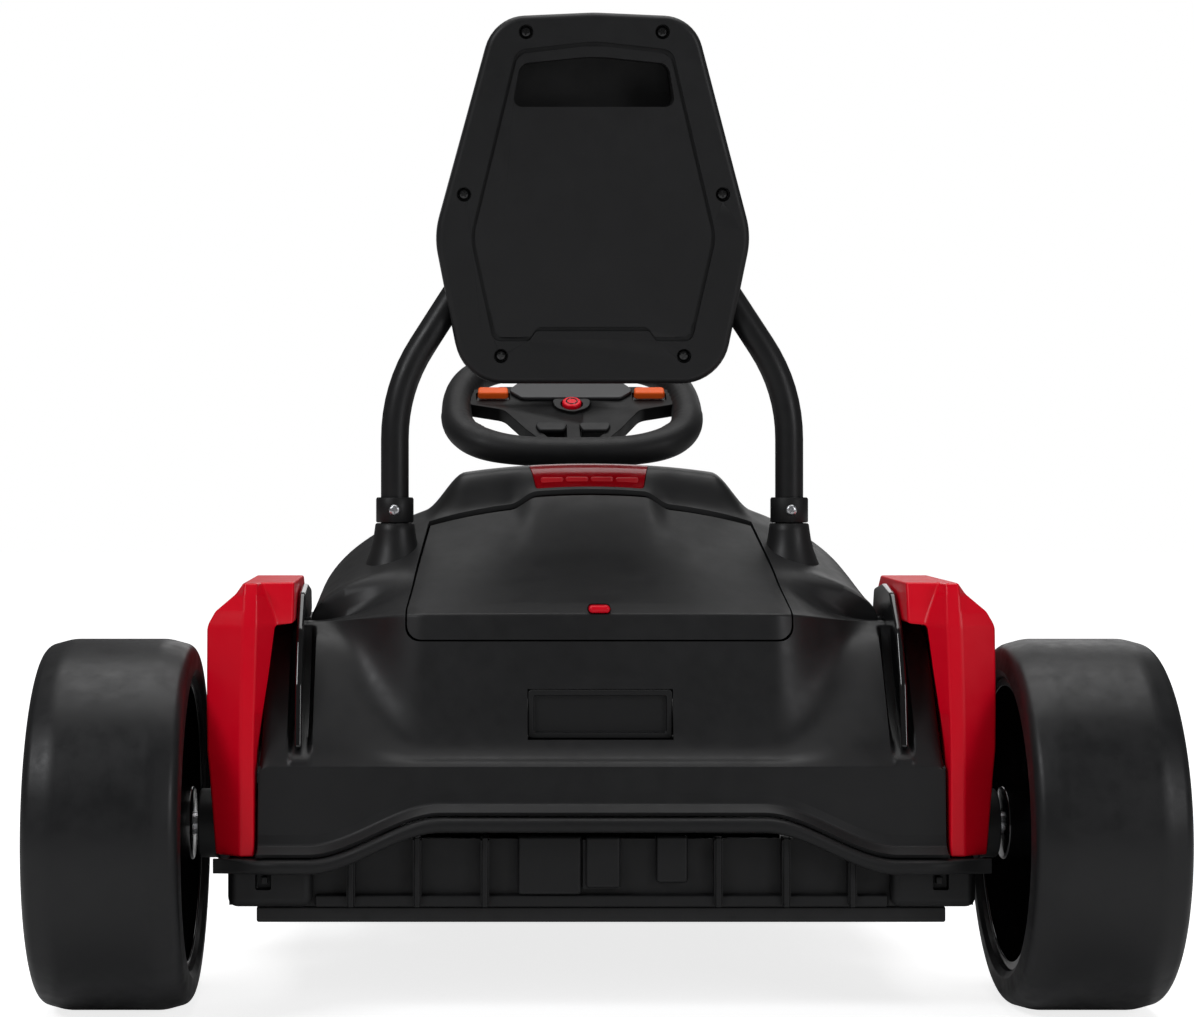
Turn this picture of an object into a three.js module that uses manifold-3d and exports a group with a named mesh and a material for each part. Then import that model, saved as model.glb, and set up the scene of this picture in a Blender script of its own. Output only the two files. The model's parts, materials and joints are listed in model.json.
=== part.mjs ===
// Children's ride-on drift kart: moulded body, tubular backrest hoop, driven rear wheels and steered front wheels.
// Millimetres, +Z up, +Y forwards, X across. Y is measured from the rear axle until the last group,
// which moves the origin to the ground under the middle of the kart.
import * as THREE from "three";
import { mergeVertices } from "three/addons/utils/BufferGeometryUtils.js";
import Module from "manifold-3d";

const wasm = await Module();
wasm.setup();

// ---------------------------------------------------------------- driving dimensions
const LENGTH = 1064; // rear tyre to nose
const WHEELBASE = 720;
const GAP = 0.3; // between two pieces that touch
const RUN = 0.6; // between a turning piece and what carries it

const REAR_TYRE_R = 131;
const REAR_TYRE_WIDTH = 108;
const REAR_TRACK_OUT = 394; // centre line to the outer face of a rear tyre
const FRONT_TYRE_R = 100;
const FRONT_TYRE_WIDTH = 74;
const FRONT_TRACK_OUT = 322;
const TYRE_WALL = 27;

const AXLE_R = 8;
const KINGPIN_X = 212;
const KINGPIN_R = 6;
const STUB_R = 7;
const STEER_ARM = 60;
const TIE_ROD_R = 5;

const BODY_HALF = 230; // half width of the rear body at its shoulder
const SKIRT_HALF = 238; // and at its lower edge
const DOME_HALF = 207; // half width of the domed deck
const DOME_FOOT_Z = 273;
const SHELL = 4; // moulded wall
const BULKHEAD_Y = 168; // front face of the rear body
const LIP_HALF = 270;

const HATCH_HINGE = { y: 118, z: 359 };
const HATCH_SEAM = 1.4;
const HATCH_BOTTOM_Z = 262;
const HATCH_HALF_REAR = 137;
const HATCH_HALF_FRONT = 122;

const POST_X = 147;
const POST_Y = 88;
const POST_R = 10.5;
const POST_FOOT_Z = 290;
const SLEEVE_R = 14;
const SLEEVE_Z = [343, 362];
const SEAT_LEAN = 0.12; // radians, top to the rear
const SEAT_BOTTOM_Z = 446;
const SEAT_HEIGHT = 276;
const COVER_T = 14;
const SHELL_DEPTH = 34;
const PAD_T = 30;

const FLOOR_Z = 79;
const SKID_T = 11;

const STEERING = { y: 468, z: 431, lean: 0.5585, halfWidth: 116, halfHeight: 80, grip: 13.5 };
const COLUMN_R = 8;

// ---------------------------------------------------------------- materials
const plastic = (color, roughness) => new THREE.MeshStandardMaterial({ color, roughness, metalness: 0 });
const metal = (color, roughness) => new THREE.MeshStandardMaterial({ color, roughness, metalness: 1 });
const black = plastic(0x1b1b1d, 0.55);
const darkBlack = plastic(0x101012, 0.5);
const gloss = plastic(0x0c0c0e, 0.15);
const red = plastic(0xa80018, 0.4);
const lens = plastic(0x8e0010, 0.15);
const orange = plastic(0xf0501c, 0.4);
const eva = plastic(0x1a1a1c, 0.6);
const leather = plastic(0x17171a, 0.6);
const paint = new THREE.MeshStandardMaterial({ color: 0x111114, roughness: 0.35, metalness: 0.3 });
const zinc = metal(0xb9bcc0, 0.35);

// ---------------------------------------------------------------- helpers
const lerp = (a, b, t) => a + (b - a) * t;
const smooth = (from, to, v) => {
  const t = Math.min(1, Math.max(0, (v - from) / (to - from)));
  return t * t * (3 - 2 * t);
};
const between = (table, v) => {
  // linear value of v in a list of [at, value]
  const i = Math.max(1, table.findIndex(([at]) => v <= at));
  const k = v > table.at(-1)[0] ? table.length - 1 : i;
  const [[a, va], [b, vb]] = [table[k - 1], table[k]];
  return lerp(va, vb, Math.min(1, Math.max(0, (v - a) / (b - a))));
};

function solid(geometry) {
  const bare = geometry.index ? geometry.toNonIndexed() : geometry.clone();
  bare.deleteAttribute("normal");
  bare.deleteAttribute("uv");
  const merged = mergeVertices(bare, 1e-3);
  return new wasm.Manifold(
    new wasm.Mesh({
      numProp: 3,
      vertProperties: new Float32Array(merged.attributes.position.array),
      triVerts: new Uint32Array(merged.index.array),
    }),
  );
}

function geometryOf(manifold) {
  const m = manifold.getMesh();
  const positions = new Float32Array(m.numVert * 3);
  for (let i = 0; i < m.numVert; i++)
    positions.set(m.vertProperties.subarray(i * m.numProp, i * m.numProp + 3), i * 3);
  const g = new THREE.BufferGeometry();
  g.setAttribute("position", new THREE.BufferAttribute(positions, 3));
  g.setIndex(new THREE.BufferAttribute(new Uint32Array(m.triVerts), 1));
  g.computeVertexNormals();
  return g;
}

const moved = (geometry, x, y, z) => geometry.clone().translate(x, y, z);
const mirrored = (manifold) => manifold.mirror([1, 0, 0]);
const box = (x0, x1, y0, y1, z0, z1) =>
  new THREE.BoxGeometry(x1 - x0, y1 - y0, z1 - z0).translate((x0 + x1) / 2, (y0 + y1) / 2, (z0 + z1) / 2);
const join = (...geometries) => geometries.map(solid).reduce((a, b) => a.add(b));

// A cylinder along "x", "y" or "z" from one coordinate to another.
function rod(axis, r, from, to, a = 0, b = 0, sides = 20) {
  const g = new THREE.CylinderGeometry(r, r, to - from, sides).translate(0, (from + to) / 2, 0);
  if (axis === "x") return g.rotateZ(-Math.PI / 2).translate(0, a, b);
  if (axis === "z") return g.rotateX(Math.PI / 2).translate(a, b, 0);
  return g.translate(a, 0, b);
}

// A ring or disc turned about the X axis from a closed outline of [radius, x].
function turned(outline, segments) {
  const points = outline.map(([r, x]) => new THREE.Vector2(r, x));
  if (THREE.ShapeUtils.area(points) < 0) points.reverse();
  return new THREE.LatheGeometry([...points, points[0].clone()], segments).rotateZ(-Math.PI / 2);
}

function extruded(points, depth) {
  const shape = new THREE.Shape(points.map(([x, y]) => new THREE.Vector2(x, y)));
  return new THREE.ExtrudeGeometry(shape, { depth, bevelEnabled: false });
}

// The outline of points [x, y] with each corner rounded by its own third value.
function rounded(corners, steps = 4) {
  const out = [];
  corners.forEach(([x, y, r = 0], i) => {
    const [px, py] = corners.at(i - 1);
    const [nx, ny] = corners[(i + 1) % corners.length];
    const at = new THREE.Vector2(x, y);
    if (!r) return out.push([x, y]);
    const back = new THREE.Vector2(px, py).sub(at).normalize();
    const on = new THREE.Vector2(nx, ny).sub(at).normalize();
    const half = Math.acos(THREE.MathUtils.clamp(back.dot(on), -1, 1)) / 2;
    const cut = Math.min(r / Math.tan(half), at.distanceTo(new THREE.Vector2(px, py)) * 0.48,
      at.distanceTo(new THREE.Vector2(nx, ny)) * 0.48);
    const curve = new THREE.QuadraticBezierCurve(
      at.clone().addScaledVector(back, cut), at, at.clone().addScaledVector(on, cut));
    curve.getPoints(steps).forEach((p) => out.push([p.x, p.y]));
  });
  return out;
}

// A closed wall: a grid of points rows[i][j] is its outer face, and depth is how far the inner face lies behind it.
function wall(rows, depth) {
  const n = rows.length;
  const m = rows[0].length;
  const at = (i, j) => rows[Math.min(n - 1, Math.max(0, i))][Math.min(m - 1, Math.max(0, j))];
  const inner = rows.map((row, i) => row.map((p, j) => {
    const du = at(i + 1, j).clone().sub(at(i - 1, j));
    const dv = at(i, j + 1).clone().sub(at(i, j - 1));
    return p.clone().addScaledVector(du.cross(dv).normalize(), -depth);
  }));
  const positions = [];
  const index = [];
  [rows, inner].forEach((side) => side.forEach((row) => row.forEach((p) => positions.push(p.x, p.y, p.z))));
  const id = (side, i, j) => side * n * m + i * m + j;
  const quad = (a, b, c, d) => index.push(a, b, c, a, c, d);
  for (let i = 0; i < n - 1; i++)
    for (let j = 0; j < m - 1; j++) {
      quad(id(0, i, j), id(0, i + 1, j), id(0, i + 1, j + 1), id(0, i, j + 1));
      quad(id(1, i, j), id(1, i, j + 1), id(1, i + 1, j + 1), id(1, i + 1, j));
    }
  for (let i = 0; i < n - 1; i++) {
    quad(id(0, i, 0), id(1, i, 0), id(1, i + 1, 0), id(0, i + 1, 0));
    quad(id(0, i, m - 1), id(0, i + 1, m - 1), id(1, i + 1, m - 1), id(1, i, m - 1));
  }
  for (let j = 0; j < m - 1; j++) {
    quad(id(0, 0, j), id(0, 0, j + 1), id(1, 0, j + 1), id(1, 0, j));
    quad(id(0, n - 1, j), id(1, n - 1, j), id(1, n - 1, j + 1), id(0, n - 1, j + 1));
  }
  const g = new THREE.BufferGeometry();
  g.setAttribute("position", new THREE.BufferAttribute(new Float32Array(positions), 3));
  g.setIndex(index);
  return solid(g);
}

// A solid through rings of points, all with the same count, closed by a fan at each end.
function loft(rings) {
  const m = rings[0].length;
  const positions = rings.flat().flatMap((p) => [p.x, p.y, p.z]);
  const index = [];
  for (let i = 0; i < rings.length - 1; i++)
    for (let j = 0; j < m; j++) {
      const k = (j + 1) % m;
      index.push(i * m + j, i * m + k, (i + 1) * m + k, i * m + j, (i + 1) * m + k, (i + 1) * m + j);
    }
  const last = (rings.length - 1) * m;
  for (let j = 1; j < m - 1; j++) {
    index.push(0, j + 1, j);
    index.push(last, last + j, last + j + 1);
  }
  const g = new THREE.BufferGeometry();
  g.setAttribute("position", new THREE.BufferAttribute(new Float32Array(positions), 3));
  g.setIndex(index);
  const made = solid(g);
  if (made.volume() > 0) return made;
  g.setIndex(index.toReversed());
  return solid(g);
}

// A round tube or bar along a smooth line through points.
function bar(points, r, steps, sides = 10, tension = 0.5) {
  const line = new THREE.CatmullRomCurve3(points.map((p) => new THREE.Vector3(...p)), false, "catmullrom", tension);
  const section = new THREE.Shape();
  for (let i = 0; i < sides; i++) {
    const t = (i / sides) * 2 * Math.PI;
    section[i ? "lineTo" : "moveTo"](r * Math.cos(t), r * Math.sin(t));
  }
  return new THREE.ExtrudeGeometry(section, { steps, extrudePath: line });
}

const kart = new THREE.Group();
function add(name, shape, material, parent = kart) {
  const geometry = shape.isBufferGeometry ? shape : geometryOf(shape);
  const mesh = new THREE.Mesh(geometry, material);
  mesh.name = name;
  parent.add(mesh);
  return mesh;
}
const SIDES = [["left", -1], ["right", 1]];

// ---------------------------------------------------------------- rear body and hatch
const lipZ = (a) => lerp(147, 118, smooth(111, 204, a)); // top edge of the rear lip
const deckLine = [[-22, 283], [-12, 289], [20, 306], [60, 329], [100, 350], [122, 361], [150, 372], [158, 368]];
const deckZ = (a, y) => {
  const dome = Math.sqrt(Math.max(0, 1 - (a / DOME_HALF) ** 2));
  const hump = 13 * smooth(121, 138, y) * (1 - smooth(84, 122, a));
  return DOME_FOOT_Z + (between(deckLine, y) - DOME_FOOT_Z) * dome + hump;
};

// The outside of the rear body as a line of [y, z] from the lip over the deck to the bulkhead, at a half width.
function rearLine(a) {
  const w = smooth(122, 205, a);
  const mix = (c, e) => [lerp(c[0], e[0], w), lerp(c[1], e[1], w)];
  const edge = lipZ(a);
  const skirt = [[-68, edge], [-59, edge + 11], [-56, 177]];
  const pocket = smooth(198, 203, a) * (1 - smooth(215.5, 220, a)); // the slot that each blade stands in
  const set = (c, e, depth) => { const [y, z] = mix(c, e); return [y + depth * pocket, z]; };
  const ramp = [
    mix([-53, 180], [-51, 185]), set([-47, 184], [-38, 205], 14), set([-37, 193], [-14, 240], 14),
    set([-33, 212], [4, 261], 10), set([-30, 240], [16, 268], 4), mix([-27, 264], [22, 271]),
    mix([-24, 281], [26, DOME_FOOT_Z]), mix([-14, deckZ(a, -14)], [32, deckZ(a, 32)]),
  ];
  const deck = [45, 80, 118, 129, 140, 152].map((y) => [y, deckZ(a, y)]);
  const top = deckZ(a, 152);
  const bulkhead = [[162, top - 8], [BULKHEAD_Y, top - 30], [BULKHEAD_Y, 205]];
  return [...skirt, ...ramp, ...deck, ...bulkhead];
}
const SKIRT_TOP_Z = 177;
const SKIRT_FOOT_Z = 118;
const halfColumns = [0, 50, 95, 122, 142, 160, 178, 190, 198, 203, DOME_HALF, 215.5, 220, BODY_HALF];
const squeeze = (z, floor) => floor + Math.max(0, z - floor) * 0.03 + Math.min(0, z - floor);
const rearColumn = (x) => rearLine(Math.abs(x)).map(([y, z]) => new THREE.Vector3(x, y, z));
const sideColumns = (side) => {
  const edge = rearColumn(side * BODY_HALF);
  const belt = edge.map((p) => new THREE.Vector3(side * SKIRT_HALF, p.y, squeeze(p.z, SKIRT_TOP_Z)));
  const foot = edge.map((p) => new THREE.Vector3(side * (SKIRT_HALF + 1), p.y,
    SKIRT_FOOT_Z + (p.z - SKIRT_FOOT_Z) * 0.03));
  return side < 0 ? [foot, belt] : [belt, foot];
};
const columns = [...halfColumns.slice(1).reverse().map((a) => -a), ...halfColumns].map(rearColumn);
const rearShell = wall([...sideColumns(-1), ...columns, ...sideColumns(1)], SHELL);

// The hatch's plan: straight sides that narrow towards the hinge.
const hatchPrism = (gap, z) => {
  const rear = HATCH_HALF_REAR - gap;
  const front = HATCH_HALF_FRONT - gap;
  const plan = [[-rear, -90], [rear, -90], [rear, -10], [front, HATCH_HINGE.y - gap], [-front, HATCH_HINGE.y - gap],
    [-rear, -10]];
  return solid(extruded(plan, 200).translate(0, 0, z));
};
const SOCKET_WALL = 5;
const SOCKET_TOP = SLEEVE_Z[0] - GAP;
const PLATE = { x: 51, z: [194, 229] };
const LENS = { x: 47, y: [122, 146] };
const lensPrism = (gap) => solid(
  box(-LENS.x + gap, LENS.x - gap, LENS.y[0] + gap, LENS.y[1] - gap, DOME_FOOT_Z, 420));
const DRIVE = { motorY: 48, motorR: 26, bossR: 30 };
const driveCut = (side) => {
  const [x0, x1] = side > 0 ? [205, 260] : [-260, -205];
  return join(rod("x", DRIVE.bossR + 3, x0, x1, 0, REAR_TYRE_R, 12),
    rod("x", DRIVE.bossR + 3, x0, x1, DRIVE.motorY, REAR_TYRE_R, 12),
    box(x0, x1, 0, DRIVE.motorY, REAR_TYRE_R - DRIVE.bossR - 3, REAR_TYRE_R + DRIVE.bossR + 3));
};
let rearBody = rearShell.subtract(hatchPrism(0, HATCH_BOTTOM_Z)).subtract(lensPrism(0));
rearBody = rearBody.subtract(solid(box(-PLATE.x, PLATE.x, -60, -25, ...PLATE.z)));
SIDES.forEach(([, side]) => {
  const x = side * POST_X;
  rearBody = rearBody
    .add(solid(rod("z", SLEEVE_R + SOCKET_WALL, POST_FOOT_Z, SOCKET_TOP, x, POST_Y, 12)))
    .subtract(solid(rod("z", POST_R + 0.8, POST_FOOT_Z - 1, SOCKET_TOP + 1, x, POST_Y, 12)))
    .subtract(driveCut(side));
});
add("rear_body", rearBody, black);

const LATCH = { x: 8, z: [281.5, 287.5], y: [-26, -4] };
const latchSlot = solid(box(-LATCH.x - RUN, LATCH.x + RUN, -40, 0, LATCH.z[0] - RUN, LATCH.z[1] + RUN));
let hatch = rearShell.intersect(hatchPrism(HATCH_SEAM, HATCH_BOTTOM_Z + HATCH_SEAM)).subtract(latchSlot);
SIDES.forEach(([, side]) => {
  const [x0, x1] = [side * 60 - 10, side * 60 + 10];
  hatch = hatch.add(join(box(x0, x1, 98, 110, 336, 344), box(x0, x1, 104.5, HATCH_HINGE.y + 9, 340, 348.2)));
});
add("battery_hatch", hatch, black);
add("hatch_latch", box(-LATCH.x, LATCH.x, ...LATCH.y, ...LATCH.z), red);
add("number_plate", join(
  box(-PLATE.x + GAP, PLATE.x - GAP, -30, -27, PLATE.z[0] + GAP, PLATE.z[1] - GAP),
  box(-PLATE.x - 4, PLATE.x + 4, -26.4, -24, PLATE.z[0] - 3, PLATE.z[1] + 3),
  box(-PLATE.x + 6, PLATE.x - 6, -28, -25, PLATE.z[0] + 6, PLATE.z[1] - 6)), darkBlack);
add("light_lens", rearShell.intersect(lensPrism(0.6)), lens);

const LIP = { y: [-72, -60], drop: [14, 4.4] };
const lipColumns = [0, 60, 111, 130, 150, 168, 186, 204, 240, 270];
add("rear_lip", loft([...lipColumns.slice(1).reverse().map((a) => -a), ...lipColumns].map((x) => {
  const edge = lipZ(Math.abs(x));
  const back = LIP.y[0] + 10 * smooth(225, 270, Math.abs(x));
  return [[back, edge - LIP.drop[0]], [LIP.y[1], edge - LIP.drop[0]], [LIP.y[1], edge - LIP.drop[1]],
    [back, edge - LIP.drop[1]]].map(([y, z]) => new THREE.Vector3(x, y, z));
})), darkBlack);

// Red side fins: horizontal rings of six corners, from the lip to the chamfered top.
const finLevels = [
  // z, inner x, ridge x, outer x, rear y, front y
  [115.4, 239.6, 246, 268, -62, -46],
  [REAR_TYRE_R + 41, 239.6, 247, 273, -62, -44],
  [REAR_TYRE_R + 57, 239.6, 247, 275, -62, 30],
  [240, 238, 246, 277, -60, 92],
  [274, 233, 245, 283, -58, 104],
  [275.5, 216, 244, 283, -58, 104],
  [286, 215, 243, 283, -56, 104],
  [304, 214.2, 241, 252, -50, 84],
];
SIDES.forEach(([name, side]) => {
  const rings = finLevels.map(([z, inner, ridge, outer, rear, front]) => [
    [inner, rear + 14], [ridge, rear], [ridge + 9, rear], [outer, rear + 12], [outer, front], [inner, front],
  ].map(([x, y]) => new THREE.Vector3(side * x, y, z)));
  add(`side_fin_${name}`, loft(rings), red);
});

// Upright blades that stand on the ramp beside the dome.
const BLADE = { x: 208.2, t: 5.4 };
const bladeOutline = [[-48, 187], [-26, 206], [-2, 241.5], [11, 262], [17, 269], [25, 272.7], [70, 272.7], [84, 278], [78, 294],
  [40, 299], [4, 294], [-26, 270], [-44, 232], [-51, 190]];
SIDES.forEach(([name, side]) => {
  const plate = extruded(bladeOutline.map(([y, z]) => [y, z + 0.8]), BLADE.t)
    .rotateX(Math.PI / 2).rotateZ(Math.PI / 2);
  const x = side > 0 ? BLADE.x : -BLADE.x - BLADE.t;
  add(`side_blade_${name}`, solid(plate).translate([x, 0, 0]), gloss);
});

// ---------------------------------------------------------------- lower chassis
const TUB = { half: 234.3, waist: 196, nose: 140, rear: -46, front: 888, top: 126, wall: 5, floor: 7 };
const tubPlan = (inset) => {
  const [h, w, n] = [TUB.half - inset, TUB.waist - inset, TUB.nose - inset];
  const right = [[h, TUB.rear + inset], [h, 150], [w, 168], [w, 540], [n, 590], [n, TUB.front - inset]];
  return [...right, ...right.toReversed().map(([x, y]) => [-x, y])];
};
const AXLE_BEAM = { y: WHEELBASE, z: [92, 110], half: 12 };
const TIE = { y: WHEELBASE - STEER_ARM, z: 102 };
const PEDAL = { x: 62, y: 800, z: 108, shaftR: 4, lug: 6 };
let tub = solid(extruded(tubPlan(0), TUB.top - FLOOR_Z).translate(0, 0, FLOOR_Z))
  .subtract(solid(extruded(tubPlan(TUB.wall), 100).translate(0, 0, FLOOR_Z + TUB.floor)));
const floorTop = FLOOR_Z + TUB.floor;
const cut = (...b) => { tub = tub.subtract(solid(box(...b))); };
const put = (...b) => { tub = tub.add(solid(box(...b))); };
[81, 128, 174].forEach((x) => SIDES.forEach(([, s]) => put(s * x - 3, s * x + 3, -55, TUB.rear + 1, 82, TUB.top)));
put(-13, 13, -52, TUB.rear + 1, 92, TUB.top);
SIDES.forEach(([, s]) => {
  const span = (a, b) => (s > 0 ? [a, b] : [-b, -a]);
  put(...span(200, 259), -58, -33, 80, 111);
  cut(...span(220, 262), -32, DRIVE.motorY + 34, 96, 140);
  put(...span(140, 158), -14, 14, floorTop - 1, REAR_TYRE_R + 20);
  put(...span(112, 112 + PEDAL.lug), PEDAL.y - 10, PEDAL.y + 10, floorTop - 1, PEDAL.z + 10);
  cut(...span(130, 150), WHEELBASE - 120, WHEELBASE + 20, AXLE_BEAM.z[0] - 2, 140);
});
put(-PEDAL.lug / 2, PEDAL.lug / 2, PEDAL.y - 10, PEDAL.y + 10, floorTop - 1, PEDAL.z + 10);
put(-60, 60, AXLE_BEAM.y - 20, AXLE_BEAM.y + 20, floorTop - 1, AXLE_BEAM.z[0] - GAP);
tub = tub.subtract(solid(rod("x", AXLE_R + RUN, -300, 300, 0, REAR_TYRE_R)))
  .add(solid(rod("x", PEDAL.shaftR, -114, 114, PEDAL.y, PEDAL.z, 14)));
add("lower_chassis", tub, darkBlack);
add("skid_plate", box(-240, 240, -46, 150, FLOOR_Z - GAP - SKID_T, FLOOR_Z - GAP), black);
add("battery", box(-80, 80, 24, 112, floorTop + GAP, 172), darkBlack);

// ---------------------------------------------------------------- rear drive and wheels
add("rear_axle", rod("x", AXLE_R, -REAR_TRACK_OUT + 42, REAR_TRACK_OUT - 42, 0, REAR_TYRE_R), zinc);

// A tyre and its rim about the X axis, outer face towards +X, ending at x = out.
function wheelOutlines(r, width, out, bore, hubIn, hubR) {
  const [x0, x1] = [out - width, out];
  const seat = r - TYRE_WALL;
  const tyre = [[seat + GAP, x0 + 3], [r - 11, x0], [r - 3, x0 + 5], [r, x0 + 18], [r, x1 - 18], [r - 3, x1 - 5],
    [r - 11, x1], [seat + GAP, x1 - 3]];
  const face = x1 - 30;
  const rim = [[0, face + 12], [0, face + 2], [bore, face + 2], [bore, hubIn], [hubR, hubIn], [hubR, face - 8],
    [seat - 5, face - 14], [seat - 5, x0 + 5], [seat, x0 + 5], [seat, x1 - 5], [seat - 5, x1 - 5], [seat - 5, face - 7],
    [hubR + 6, face], [hubR - 5, face], [hubR - 5, face + 8], [hubR - 9, face + 12]];
  return { tyre, rim, face };
}
const rear = wheelOutlines(REAR_TYRE_R, REAR_TYRE_WIDTH, REAR_TRACK_OUT, AXLE_R + RUN, 287, 26);
SIDES.forEach(([name, side]) => {
  const place = (m) => (side > 0 ? m : mirrored(m)).translate([0, 0, REAR_TYRE_R]);
  add(`rear_tyre_${name}`, place(solid(turned(rear.tyre, 24))), eva);
  add(`rear_rim_${name}`, place(solid(turned(rear.rim, 24))), gloss);
  const drive = join(rod("x", DRIVE.bossR, 239.5, 284, 0, 0, 16), rod("x", DRIVE.bossR, 239.5, 256, DRIVE.motorY, 0, 16),
    box(239.5, 256, 0, DRIVE.motorY, -DRIVE.bossR, DRIVE.bossR))
    .subtract(solid(rod("x", AXLE_R + RUN, 230, 300)));
  add(`gearbox_${name}`, place(drive), darkBlack);
  add(`drive_motor_${name}`, place(solid(rod("x", DRIVE.motorR, 165, 239.2, DRIVE.motorY + 2, 0, 20))), zinc);
});

// ---------------------------------------------------------------- front axle, steering knuckles and wheels
const beam = join(
  box(-KINGPIN_X, KINGPIN_X, AXLE_BEAM.y - AXLE_BEAM.half + 2, AXLE_BEAM.y + AXLE_BEAM.half - 2, ...AXLE_BEAM.z),
  ...SIDES.map(([, s]) => rod("z", AXLE_BEAM.half, ...AXLE_BEAM.z, s * KINGPIN_X, AXLE_BEAM.y, 20)),
);
const kingpin = (s) => join(rod("z", KINGPIN_R, 74, 128, s * KINGPIN_X, AXLE_BEAM.y, 12),
  rod("z", KINGPIN_R + 4, 124.6, 129, s * KINGPIN_X, AXLE_BEAM.y, 6));
add("front_axle_beam", beam.add(kingpin(1)).add(kingpin(-1)), paint);
const front = wheelOutlines(FRONT_TYRE_R, FRONT_TYRE_WIDTH, FRONT_TRACK_OUT, STUB_R + RUN, 251, 20);
SIDES.forEach(([name, side]) => {
  const place = (m) => (side > 0 ? m : mirrored(m)).translate([0, WHEELBASE, 0]);
  const lugs = [[78, AXLE_BEAM.z[0] - RUN], [AXLE_BEAM.z[1] + RUN, 124]];
  let knuckle = join(
    ...lugs.map(([z0, z1]) => rod("z", AXLE_BEAM.half, z0, z1, KINGPIN_X, 0, 14)),
    ...lugs.map(([z0, z1]) => box(KINGPIN_X, 238, -10, 10, z0, z1)),
    box(KINGPIN_X + AXLE_BEAM.half + 2, 238, -13, 13, 78, 124),
    rod("x", STUB_R, 236, front.face + 1, 0, FRONT_TYRE_R, 12),
    rod("x", 13, 237, 250.4, 0, FRONT_TYRE_R, 12),
    box(KINGPIN_X - 6, KINGPIN_X + 6, -STEER_ARM, -6, 78, 86),
    rod("z", 9, 78, 86, KINGPIN_X, -STEER_ARM, 12),
    rod("z", 4, 80, 112, KINGPIN_X, -STEER_ARM, 12));
  knuckle = knuckle.subtract(solid(rod("z", KINGPIN_R + RUN, 60, 140, KINGPIN_X, 0, 12)));
  add(`steering_knuckle_${name}`, place(knuckle), paint);
  const spin = (outline, n) => place(solid(turned(outline, n)).translate([0, 0, FRONT_TYRE_R]));
  add(`front_tyre_${name}`, spin(front.tyre, 20), eva);
  add(`front_rim_${name}`, spin(front.rim, 20), gloss);
});
const eye = (s) => rod("z", 9, TIE.z - 6, TIE.z + 6, s * KINGPIN_X, TIE.y, 16);
const CRANK = 40; // from the column's axis to its finger
const FINGER_R = 4;
const tieHole = (s, r) => solid(rod("z", r, 80, 130, s * KINGPIN_X, TIE.y, 14));
add("tie_rod", join(rod("x", TIE_ROD_R, -KINGPIN_X, KINGPIN_X, TIE.y, TIE.z, 12), eye(1), eye(-1),
  box(-22, 22, TIE.y - 54, TIE.y, TIE.z - 3, TIE.z + 3))
  .subtract(tieHole(-1, 4 + RUN)).subtract(tieHole(1, 4 + 2 * RUN))
  .subtract(solid(box(-FINGER_R - 2.6, FINGER_R + 2.6, TIE.y - 48, TIE.y - 14, 80, 130))), zinc);

// ---------------------------------------------------------------- steering wheel, column and buttons
const helm = new THREE.Group();
helm.position.set(0, STEERING.y, STEERING.z);
helm.rotation.x = STEERING.lean;
kart.add(helm);
// The grip: a round bar along a wide rounded loop with a flatter bottom.
function gripRing(count, sides) {
  const [a, b] = [STEERING.halfWidth - STEERING.grip, STEERING.halfHeight - STEERING.grip];
  const at = (t) => {
    const [c, s] = [Math.cos(t), Math.sin(t)];
    return new THREE.Vector3(a * Math.sign(c) * Math.abs(c) ** 0.6, b * Math.sign(s) * Math.abs(s) ** 0.85, 0);
  };
  const positions = [];
  const index = [];
  for (let i = 0; i < count; i++) {
    const t = (i / count) * 2 * Math.PI;
    const centre = at(t);
    const out = at(t + 0.02).sub(at(t - 0.02)).normalize().cross(new THREE.Vector3(0, 0, 1));
    for (let j = 0; j < sides; j++) {
      const u = (j / sides) * 2 * Math.PI;
      const p = centre.clone().addScaledVector(out, STEERING.grip * Math.cos(u));
      positions.push(p.x, p.y, STEERING.grip * Math.sin(u));
      const [k, l] = [(i + 1) % count, (j + 1) % sides];
      index.push(i * sides + j, k * sides + l, k * sides + j, i * sides + j, i * sides + l, k * sides + l);
    }
  }
  const g = new THREE.BufferGeometry();
  g.setAttribute("position", new THREE.BufferAttribute(new Float32Array(positions), 3));
  g.setIndex(index);
  const made = solid(g);
  if (made.volume() > 0) return made;
  g.setIndex(index.toReversed());
  return solid(g);
}
const grip = gripRing(30, 8);
add("steering_grip", grip, leather, helm);
const HUB_T = 7;
const hubOutline = rounded([[-40, -34, 6], [-22, -72], [22, -72], [40, -34, 6], [56, 2, 8], [108, 10], [108, 30],
  [58, 40, 10], [-58, 40, 10], [-108, 30], [-108, 10], [-56, 2, 8]], 3);
const hubWindow = rounded([[-14, -58, 3], [14, -58, 3], [14, -40, 3], [-14, -40, 3]], 2);
const BUTTON_SEAT = 2; // how far a button reaches into the hub
const BUTTON = { horn: [0, 4], signalX: 69.5, signalY: 21, w: 14, h: 6, r: 9, top: HUB_T + 5 };
const buttonCut = (x, y) => box(x - BUTTON.w - RUN, x + BUTTON.w + RUN, y - BUTTON.h - RUN, y + BUTTON.h + RUN,
  HUB_T - BUTTON_SEAT - 3, HUB_T + 9);
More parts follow.
